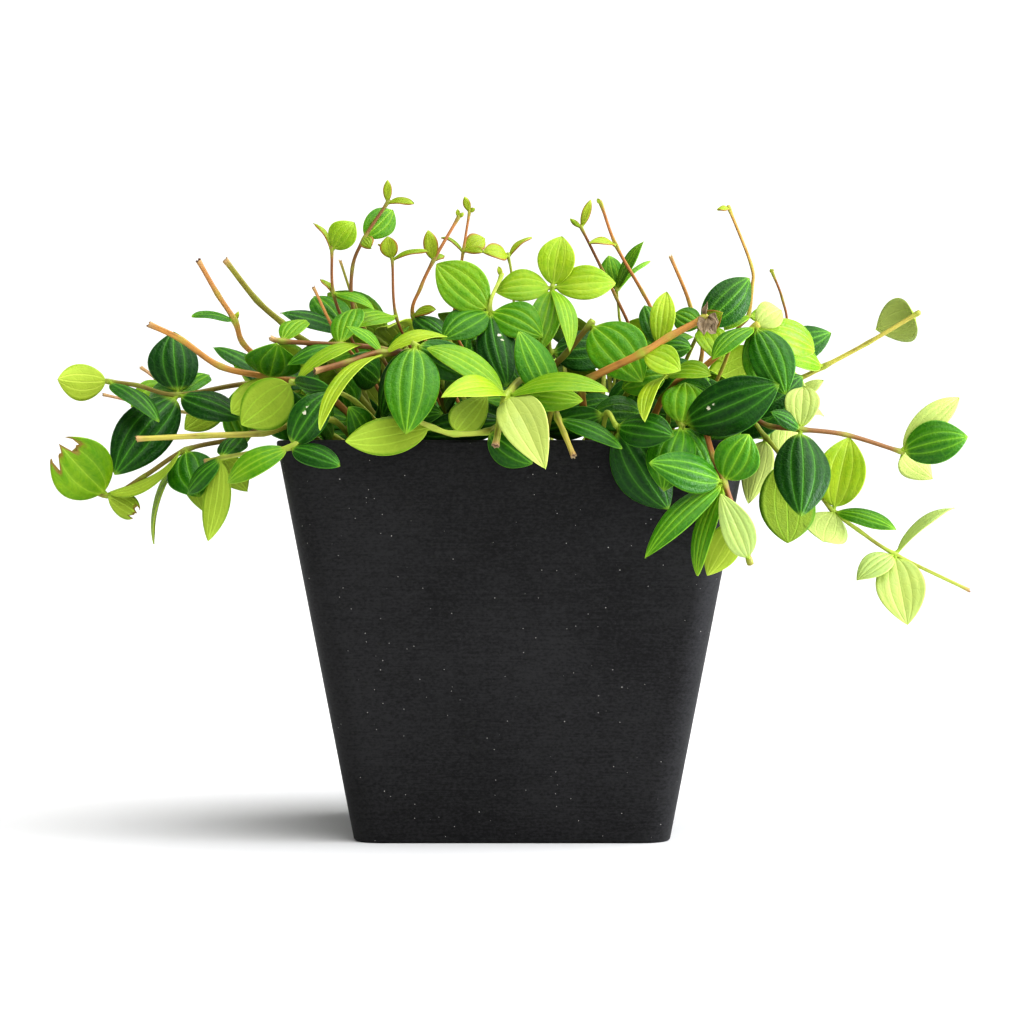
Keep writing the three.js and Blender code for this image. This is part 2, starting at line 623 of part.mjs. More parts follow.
// A point on a blade: along it from 0 to 1, across it from -1 to 1.
function onBlade(frame, along, across) {
  const half = frame.half * fullness(along);
  const rise = BLADE_ARCH * frame.blade * 4 * along * (1 - along) + frame.fold * Math.abs(across) * half;
  return frame.base.clone()
    .addScaledVector(frame.axis, frame.petiole + frame.blade * along)
    .addScaledVector(frame.side, across * half)
    .addScaledVector(frame.normal, rise);
}

// Points close together over a blade.
function bladeSamples(frame) {
  const samples = [];
  const rows = Math.ceil(frame.blade / SAMPLE_STEP);
  for (let row = 0; row <= rows; row += 1) {
    const along = row / rows;
    const columns = Math.ceil((frame.half * fullness(along)) / SAMPLE_STEP);
    for (let column = -columns; column <= columns; column += 1) {
      samples.push(onBlade(frame, along, columns === 0 ? 0 : column / columns));
    }
  }
  return samples;
}

// Turns a leaf aside, and then shrinks it, until it has its elbow room. A leaf that finds none isn't grown.
function placeLeaf(room, stem, base, leafOf) {
  const wanted = leafOf.tip.clone().sub(base);
  const length = wanted.length();
  wanted.normalize();
  for (const [shrink, aside, way] of TRIES) {
    const axis = wanted.clone().addScaledVector(way, Math.tan(aside * DEGREE)).normalize();
    const frame = bladeFrame(base, axis, length * shrink, { ...leafOf, width: leafOf.width * shrink });
    const samples = bladeSamples(frame);
    let count = 0;
    for (const sample of samples) {
      count += room.conflicts(sample, ELBOW_ROOM / 2, stem.clump, base) + (clearOfPot(sample) ? 0 : 1);
      if (count >= 1) break;
    }
    if (count >= 1) continue;
    for (const sample of samples) room.add(sample, ELBOW_ROOM / 2, stem.clump);
    return frame;
  }
  return null;
}

// A closed solid through rings of points, which run anticlockwise seen from its far end. The last ring may be
// a single point.
function loft(rings) {
  const corners = rings[0].length;
  const positions = rings.flat().flatMap((point) => [point.x, point.y, point.z]);
  const faces = [];
  for (let corner = 1; corner < corners - 1; corner += 1) faces.push(0, corner + 1, corner);
  for (let ring = 0; ring < rings.length - 1; ring += 1) {
    const near = ring * corners;
    const far = near + corners;
    for (let corner = 0; corner < corners; corner += 1) {
      const next = (corner + 1) % corners;
      if (rings[ring + 1].length === 1) {
        faces.push(near + corner, near + next, far);
      } else if (corner % 2 === 0) {
        faces.push(near + corner, near + next, far + next, near + corner, far + next, far + corner);
      } else {
        faces.push(near + corner, near + next, far + corner, near + next, far + next, far + corner);
      }
    }
  }
  if (rings[rings.length - 1].length > 1) {
    const first = (rings.length - 1) * corners;
    for (let corner = 1; corner < corners - 1; corner += 1) faces.push(first, first + corner, first + corner + 1);
  }
  const geometry = new THREE.BufferGeometry();
  geometry.setAttribute("position", new THREE.Float32BufferAttribute(positions, 3));
  geometry.setIndex(faces);
  return geometry;
}

// A stem: square in section, tapered to its tip, and swollen where leaves grow.
function stemGeometry(stem) {
  const { rings } = stem.path;
  let side = new THREE.Vector3(Math.SQRT1_2, Math.SQRT1_2, 0);
  return loft(rings.map((ring, index) => {
    const before = rings[Math.max(index - 1, 0)].point;
    const after = rings[Math.min(index + 1, rings.length - 1)].point;
    const along = index < 1 ? UP.clone() : after.clone().sub(before).normalize();
    side = side.clone().addScaledVector(along, -side.dot(along)).normalize();
    const up = new THREE.Vector3().crossVectors(along, side);
    const taper = 1 - ((1 - TIP_SHARE) * Math.max(index - 1, 0)) / (rings.length - 2);
    const radius = (stem.thickness / 2) * CORNER_SHARE * taper * (ring.node ? NODE_SWELLING : 1);
    return [0, 1, 2, 3].map((corner) => ring.point.clone()
      .addScaledVector(side, radius * Math.cos((corner * Math.PI) / 2))
      .addScaledVector(up, radius * Math.sin((corner * Math.PI) / 2)));
  }));
}

// A leaf: a round petiole that widens into a thin, arched and folded blade with sharp edges.
function leafGeometry(frame) {
  const width = frame.half * 2;
  const stations = width >= WIDE_BLADE && !frame.plain ? WIDE_STATIONS : MIDDLE_STATIONS;
  const petioleHalf = Math.min(PETIOLE_HALF, frame.half * PETIOLE_FILL);
  const ringAt = (centre, half, rise, thick) => {
    const ring = [
      centre.clone().addScaledVector(frame.side, half).addScaledVector(frame.normal, rise),
      centre.clone().addScaledVector(frame.normal, thick),
      centre.clone().addScaledVector(frame.side, -half).addScaledVector(frame.normal, rise),
      centre.clone().addScaledVector(frame.normal, -thick),
    ];
    if (frame.plain) ring.splice(frame.fold > 0 ? 1 : 3, 1);
    return ring;
  };
  const root = frame.base.clone().addScaledVector(frame.axis, ROOT_SUNK);
  const rings = [ringAt(root, petioleHalf, 0, petioleHalf)];
  rings.push(ringAt(onBlade(frame, 0, 0), petioleHalf, 0, petioleHalf));
  for (const along of width < SLIM_BLADE ? SLIM_STATIONS : stations) {
    const half = frame.half * fullness(along);
    const thick = Math.min(BLADE_THICKNESS / 2, Math.max(half * BLADE_THICK_SHARE, MIN_BLADE_HALF));
    rings.push(ringAt(onBlade(frame, along, 0), half, frame.fold * half, thick));
  }
  rings.push([onBlade(frame, 1, 0)]);
  return loft(rings);
}

// A solid for joining and cutting.
function solid(geometry) {
  geometry.deleteAttribute("normal");
  geometry.deleteAttribute("uv");
  const merged = mergeVertices(geometry);
  return new wasm.Manifold(new wasm.Mesh({
    numProp: 3,
    vertProperties: new Float32Array(merged.attributes.position.array),
    triVerts: new Uint32Array(merged.index.array),
  }));
}

// A named piece of the model, made of the largest body of a solid.
function piece(name, body, material) {
  const [largest] = body.decompose().sort((a, b) => b.volume() - a.volume());
  const mesh = largest.getMesh();
  const geometry = new THREE.BufferGeometry();
  geometry.setAttribute("position", new THREE.Float32BufferAttribute(mesh.vertProperties, 3));
  geometry.setIndex(Array.from(mesh.triVerts));
  geometry.computeVertexNormals();
  const made = new THREE.Mesh(geometry, material);
  made.name = name;
  return made;
}

// A ring of points round a rounded square at one height.
function squareRing(half, radius, z, steps = CORNER_STEPS) {
  const points = [];
  for (let corner = 0; corner < 4; corner += 1) {
    const turn = (corner * Math.PI) / 2;
    const inner = Math.hypot(half - radius, half - radius);
    const centre = [inner * Math.cos(turn + Math.PI / 4), inner * Math.sin(turn + Math.PI / 4)];
    for (let step = 0; step <= steps; step += 1) {
      const angle = turn + (step / steps) * (Math.PI / 2);
      points.push(new THREE.Vector3(
        centre[0] + radius * Math.cos(angle),
        centre[1] + radius * Math.sin(angle),
        z,
      ));
    }
  }
  return points;
}

// The pot, with its edges a little rounded and drainage holes off the middle of its floor.
function makePot() {
  const outer = solid(loft([
    squareRing(outerHalf(0) - EDGE_ROUNDING, CORNER_RADIUS - EDGE_ROUNDING, 0),
    squareRing(outerHalf(EDGE_ROUNDING), CORNER_RADIUS, EDGE_ROUNDING),
    squareRing(outerHalf(POT_HEIGHT - EDGE_ROUNDING), CORNER_RADIUS, POT_HEIGHT - EDGE_ROUNDING),
    squareRing(outerHalf(POT_HEIGHT) - EDGE_ROUNDING, CORNER_RADIUS - EDGE_ROUNDING, POT_HEIGHT),
  ]));
  const inner = solid(loft([
    squareRing(outerHalf(FLOOR) - WALL, CORNER_RADIUS - WALL, FLOOR),
    squareRing(outerHalf(POT_HEIGHT * 2) - WALL, CORNER_RADIUS - WALL, POT_HEIGHT * 2),
  ]));
  let body = outer.subtract(inner);
  for (const [x, y] of [[1, 1], [-1, 1], [-1, -1], [1, -1]]) {
    const hole = new THREE.CylinderGeometry(DRAIN_RADIUS, DRAIN_RADIUS, FLOOR * 4, DRAIN_SIDES);
    hole.rotateX(Math.PI / 2);
    hole.translate(x * DRAIN_OFFSET, y * DRAIN_OFFSET, 0);
    body = body.subtract(solid(hole));
  }
  return body;
}

// The soil, clear of the pot's wall and floor, with a square hole for each clump's foot.
function makeSoil(stems) {
  const bottom = FLOOR + GAP;
  const edge = CORNER_RADIUS - WALL - GAP;
  const shoulder = SOIL_TOP - SOIL_SHOULDER;
  const halfAt = (z) => outerHalf(z) - WALL - WALL_GAP;
  const shrunk = (share) => squareRing(halfAt(SOIL_TOP) * share, edge * share, 0, SOIL_CORNER_STEPS)
    .map((point) => point.setZ(soilHeight(point.x, point.y)));
  let body = solid(loft([
    squareRing(halfAt(bottom), edge, bottom, SOIL_CORNER_STEPS),
    squareRing(halfAt(shoulder), edge, shoulder, SOIL_CORNER_STEPS),
    ...SOIL_RINGS.map(shrunk),
    [new THREE.Vector3(0, 0, soilHeight(0, 0))],
  ]));
  for (const stem of stems.filter((each) => each.foot)) {
    const radius = (stem.thickness / 2) * CORNER_SHARE + HOLE_GAP;
    const hole = new THREE.CylinderGeometry(radius, radius, ROOT_DEPTH * 3, 4);
    hole.rotateX(Math.PI / 2);
    hole.rotateZ(Math.PI / 4);
    hole.translate(stem.root[0], stem.root[1], SOIL_TOP - ROOT_DEPTH - GAP + ROOT_DEPTH * 1.5);
    body = body.subtract(solid(hole));
  }
  return body;
}

// The stems that are laid out from the front, each a clump of its own.
function frontStems() {
  const draw = drawer(DEEP_SEED);
  return Object.entries(FRONT_STEMS).map(([name, [root, thickness, stops]], number) => {
    const grown = stops.map(([across, up, back, ...leaves]) => ({
      point: seen(across, up, back),
      leaves: leaves.map((each) => ({ ...each, facing: FRONT })),
    }));
    const outwards = Math.atan2(root[1] - DEEP_MIDDLE, root[0]) / DEGREE;
    const deep = DEEP_PLACES.slice(number % 2).map(([share, climbs]) => {
      const heading = direction(outwards + draw(...DEEP_ASIDES), draw(...climbs));
      return {
        share,
        reach: heading.multiplyScalar(draw(...DEEP_LENGTHS)),
        width: draw(...DEEP_WIDTHS),
        turn: draw(...DEEP_TURNS),
        age: draw(...DEEP_AGES),
        plain: true,
        facing: FRONT,
      };
    });
    return { name, clump: name, foot: true, root, thickness, stops: grown, deep };
  });
}

// One stem of a clump behind, which climbs to its crest and then sinks to its tip.
function backStem(clump, foot, { heading, root, reach, crest, end }, whorls, draw) {
  const outwards = direction(heading, 0);
  const at = (share) => {
    const climb = Math.min(1, share / CREST_SHARE);
    const fall = Math.max(0, share * 2 - 1);
    const height = SOIL_TOP + ROOT_RISE + (crest - SOIL_TOP) * climb + (end - crest) * fall * fall;
    return new THREE.Vector3(
      root[0] + (outwards.x * reach - root[0]) * share,
      root[1] + (outwards.y * reach - root[1]) * share,
      height,
    );
  };
  const shares = [BARE_STOP, ...new Set(whorls.map(([share]) => share))];
  const stops = shares.map((share) => ({
    point: at(share),
    leaves: whorls.filter(([where]) => where === share).map(([, aside]) => {
      const away = direction(heading + aside + draw(...BACK_ASIDES), draw(...BACK_CLIMBS));
      return {
        tip: at(share).addScaledVector(away, draw(...BACK_LENGTHS)),
        width: draw(...BACK_WIDTHS),
        turn: draw(...BACK_TURNS),
        age: draw(...BACK_AGES),
        facing: outwards,
        plain: true,
      };
    }),
  }));
  return { name: clump, clump, foot, root, thickness: BACK_THICKNESS, stops, deep: [] };
}

// The clumps behind.
function backStems() {
  const draw = drawer(BACK_SEED);
  const stems = [];
  for (let index = 0; index < BACK_CLUMPS; index += 1) {
    const heading = BACK_FROM + ((BACK_TO - BACK_FROM) * index) / (BACK_CLUMPS - 1);
    const spread = BACK_HALF_SPREAD / Math.abs(Math.cos(heading * DEGREE));
    const reach = Math.min(index % 2 === 0 ? LONG_REACH : SHORT_REACH, spread);
    const foot = direction(heading, 0).multiplyScalar(BACK_ROOT + (index % 2) * BACK_ROOT_STAGGER);
    const root = [foot.x, Math.min(foot.y, BACK_DEEPEST)];
    const name = `behind_${index + 1}`;
    const crest = draw(...CRESTS);
    const end = crest - draw(...(reach > HANGING_REACH ? HANGING_SINKS : SINKS));
    stems.push(backStem(name, true, { heading, root, reach, crest, end }, BACK_WHORL, draw));
    stems.push(backStem(name, false, {
      heading: heading + INNER_TURN,
      root,
      reach: INNER_REACH,
      crest: draw(...INNER_CRESTS),
      end: draw(...INNER_ENDS),
    }, INNER_WHORL, draw));
  }
  return stems;
}

const stems = [...frontStems(), ...backStems()];
const room = new Room();
for (const stem of stems) placeStem(room, stem);
for (const stem of stems) {
  stem.frames = [];
  stem.stops.forEach((stop, index) => {
    const base = stem.path.places[index];
    for (const each of stop.leaves) {
      const moved = { ...each, tip: each.tip.clone().setY(each.tip.y + stem.path.shifts[index]) };
      stem.frames.push(placeLeaf(room, stem, base, moved));
    }
  });
}
for (const stem of stems) {
  for (const each of stem.deep) {
    const ring = stem.path.rings[1 + Math.round(each.share * stem.path.firstSteps)];
    ring.node = true;
    const tip = ring.point.clone().add(each.reach);
    stem.frames.push(placeLeaf(room, stem, ring.point, { ...each, tip }));
  }
}

const potMaterial = new THREE.MeshStandardMaterial({ color: 0x242424, roughness: 0.55, metalness: 0 });
const soilMaterial = new THREE.MeshStandardMaterial({ color: 0x3a2a1e, roughness: 1, metalness: 0 });
const leafMaterial = new THREE.MeshStandardMaterial({ color: 0x4f8a2a, roughness: 0.35, metalness: 0 });

const group = new THREE.Group();
group.add(piece("pot", makePot(), potMaterial));
group.add(piece("soil", makeSoil(stems), soilMaterial));
for (const clump of new Set(stems.map((stem) => stem.clump))) {
  let body = null;
  for (const stem of stems.filter((each) => each.clump === clump)) {
    const parts = [stemGeometry(stem), ...stem.frames.filter(Boolean).map(leafGeometry)];
    for (const part of parts) body = body ? body.add(solid(part)) : solid(part);
  }
  group.add(piece(`stem_${clump}`, body, leafMaterial));
}

export default group;
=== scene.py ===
"""A beetle peperomia in a square black pot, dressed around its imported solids.

The pot stands on z = 0 with its middle over the origin, +Z up, and -Y is the front. The plant's layout is
worked out in millimetres, as in the part's source, and the finished meshes are in metres.
"""

import logging
import math
from dataclasses import dataclass, field, replace
from enum import Enum
from functools import reduce
from typing import NamedTuple

import bmesh
import bpy
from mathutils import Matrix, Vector, noise


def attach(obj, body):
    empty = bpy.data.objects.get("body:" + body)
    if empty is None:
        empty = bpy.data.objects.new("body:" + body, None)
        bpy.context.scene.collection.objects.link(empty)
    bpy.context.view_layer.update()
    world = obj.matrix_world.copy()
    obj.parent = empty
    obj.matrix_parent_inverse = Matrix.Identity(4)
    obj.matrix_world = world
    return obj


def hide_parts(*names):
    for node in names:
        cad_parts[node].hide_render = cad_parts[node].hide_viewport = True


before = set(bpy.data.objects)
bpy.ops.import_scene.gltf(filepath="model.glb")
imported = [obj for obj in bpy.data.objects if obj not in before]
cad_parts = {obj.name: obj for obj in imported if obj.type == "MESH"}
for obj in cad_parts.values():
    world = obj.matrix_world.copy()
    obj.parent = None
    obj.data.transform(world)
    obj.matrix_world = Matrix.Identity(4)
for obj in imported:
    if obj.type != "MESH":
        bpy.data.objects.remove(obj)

LOG = logging.getLogger("peperomia")
MM = 0.001
DEGREE = math.pi / 180
WELD = 1e-7

Pair = tuple[float, float]
Triple = tuple[float, float, float]
Colour = tuple[float, float, float, float]
Ramp = tuple[tuple[float, Colour], ...]
Socket = bpy.types.NodeSocket


class Point(NamedTuple):
    """A place or a direction, in millimetres."""

    x: float
    y: float
    z: float

    def moved(self, way: "Point", by: float) -> "Point":
        """This place moved along a direction."""
        return Point(self.x + way.x * by, self.y + way.y * by, self.z + way.z * by)

    def minus(self, other: "Point") -> "Point":
        """The way from the other place to this one."""
        return Point(self.x - other.x, self.y - other.y, self.z - other.z)

    def times(self, factor: float) -> "Point":
        """This direction made longer or shorter."""
        return Point(self.x * factor, self.y * factor, self.z * factor)

    def dot(self, other: "Point") -> float:
        """The dot product."""
        return self.x * other.x + self.y * other.y + self.z * other.z

    def cross(self, other: "Point") -> "Point":
        """The cross product."""
        return Point(
            self.y * other.z - self.z * other.y,
            self.z * other.x - self.x * other.z,
            self.x * other.y - self.y * other.x,
        )

    def length(self) -> float:
        """The length."""
        return math.sqrt(self.x * self.x + self.y * self.y + self.z * self.z)

    def unit(self) -> "Point":
        """This direction at length 1."""
        return self.times(1 / (self.length() or 1))

    def flattened(self, normal: "Point") -> "Point":
        """This direction without its share along a normal."""
        return self.moved(normal, -self.dot(normal))


FRONT = Point(0, -1, 0)
UP = Point(0, 0, 1)
WAYS = (FRONT, Point(0, 1, 0), Point(0, 0, -1), UP, Point(-1, 0, 0), Point(1, 0, 0))


def linear(red: int, green: int, blue: int) -> Colour:
    """Turns a screen colour into the linear one that shaders use.

    Args:
        red: Red from 0 to 255.
        green: Green from 0 to 255.
        blue: Blue from 0 to 255.

    Returns:
        The linear colour with full alpha.
    """
    shares = [value / 255 for value in (red, green, blue)]
    spread = [s / 12.92 if s <= 0.04045 else ((s + 0.055) / 1.055) ** 2.4 for s in shares]
    return (spread[0], spread[1], spread[2], 1.0)


def blended(first: tuple, second: tuple, share: float) -> tuple:
    """Mixes two colours or values of the same length."""
    return tuple(a + (b - a) * share for a, b in zip(first, second))


def bell(distance: float, width: float) -> float:
    """A bell curve that is 1 at no distance."""
    return math.exp(-((distance / width) ** 2))


def nearest(value: float) -> int:
    """The nearest whole number, with halves rounded up as in the part's source."""
    return math.floor(value + 0.5)


def put(name: str, data: bpy.types.ID) -> bpy.types.Object:
    """Puts a new object with its data in the scene."""
    made = bpy.data.objects.new(name, data)
    bpy.context.scene.collection.objects.link(made)
    return made


def modelled(name: str, mesh: bmesh.types.BMesh, *finishes: bpy.types.Material) -> bpy.types.Object:
    """Makes a modelled mesh an object with its materials, and puts it in the scene.

    Args:
        name: The object's name.
        mesh: The mesh, which is freed.
        finishes: Its materials.

    Returns:
        The object.
    """
    data = bpy.data.meshes.new(name)
    mesh.to_mesh(data)
    mesh.free()
    for finish in finishes:
        data.materials.append(finish)
    return put(name, data)


@dataclass(frozen=True)
class BarkTone:
    """A stem's colour at its foot and at its end."""

    low: Colour
    high: Colour


class Bark(Enum):
    """The stems' colours, as the photograph shows them."""

    OLIVE = BarkTone(linear(120, 130, 40), linear(150, 150, 55))
    DARK_OLIVE = BarkTone(linear(95, 80, 35), linear(125, 115, 45))
    ORANGE = BarkTone(linear(150, 112, 50), linear(200, 142, 80))
    GINGER = BarkTone(linear(132, 138, 48), linear(200, 152, 80))
    TAWNY = BarkTone(linear(140, 105, 45), linear(196, 140, 70))
    BROWN = BarkTone(linear(110, 75, 40), linear(132, 92, 50))
    RED_BROWN = BarkTone(linear(140, 95, 50), linear(142, 92, 52))
    RUST = BarkTone(linear(160, 112, 58), linear(186, 124, 72))
    LEAFY = BarkTone(linear(150, 165, 55), linear(175, 190, 80))
    STRAW = BarkTone(linear(165, 165, 65), linear(195, 185, 85))
    TAN = BarkTone(linear(170, 140, 85), linear(190, 150, 110))


class WearAndBacklight(Enum):
    """What has happened to a leaf, and which leaves get a painted glow."""

    SOUND = 0
    BITTEN = 1
    SCARRED = 2
    # The last kind is no damage: it gives a leaf a painted glow, a whitish paleness that stands for light
    # shining through it.
    BACKLIT = 3


@dataclass(frozen=True)
class Leaf:
    """A leaf as seen from the front.

    Attributes:
        across: Where its tip lines up across, at the pot's mid-plane.
        up: Where its tip lines up in height.
        back: How far back its tip lies.
        width: The blade's width.
        turn: How far its upper face turns from the viewer towards the sky, in degrees.
        age: From 0, lime and young, to 1, dark and old. 2 is a dried husk.
        wear_and_backlight: What has happened to it, and whether it gets a painted glow of light shining
            through it.
    """

    across: float
    up: float
    back: float
    width: float
    turn: float
    age: float
    wear_and_backlight: WearAndBacklight = WearAndBacklight.SOUND


@dataclass(frozen=True)
class Stop:
    """A place on a stem, as seen from the front, with the leaves that grow there."""

    across: float
    up: float
    back: float
    leaves: tuple[Leaf, ...]


def stop(across: float, up: float, back: float, *leaves: Leaf) -> Stop:
    """A stop with its leaves listed after its place."""
    return Stop(across, up, back, leaves)


@dataclass(frozen=True)
class StemPlan:
    """A stem that is laid out from the front: its root in the soil, thickness, colour and stops."""

    name: str
    root: Pair
    thickness: float
    bark: Bark
    stops: tuple[Stop, ...]


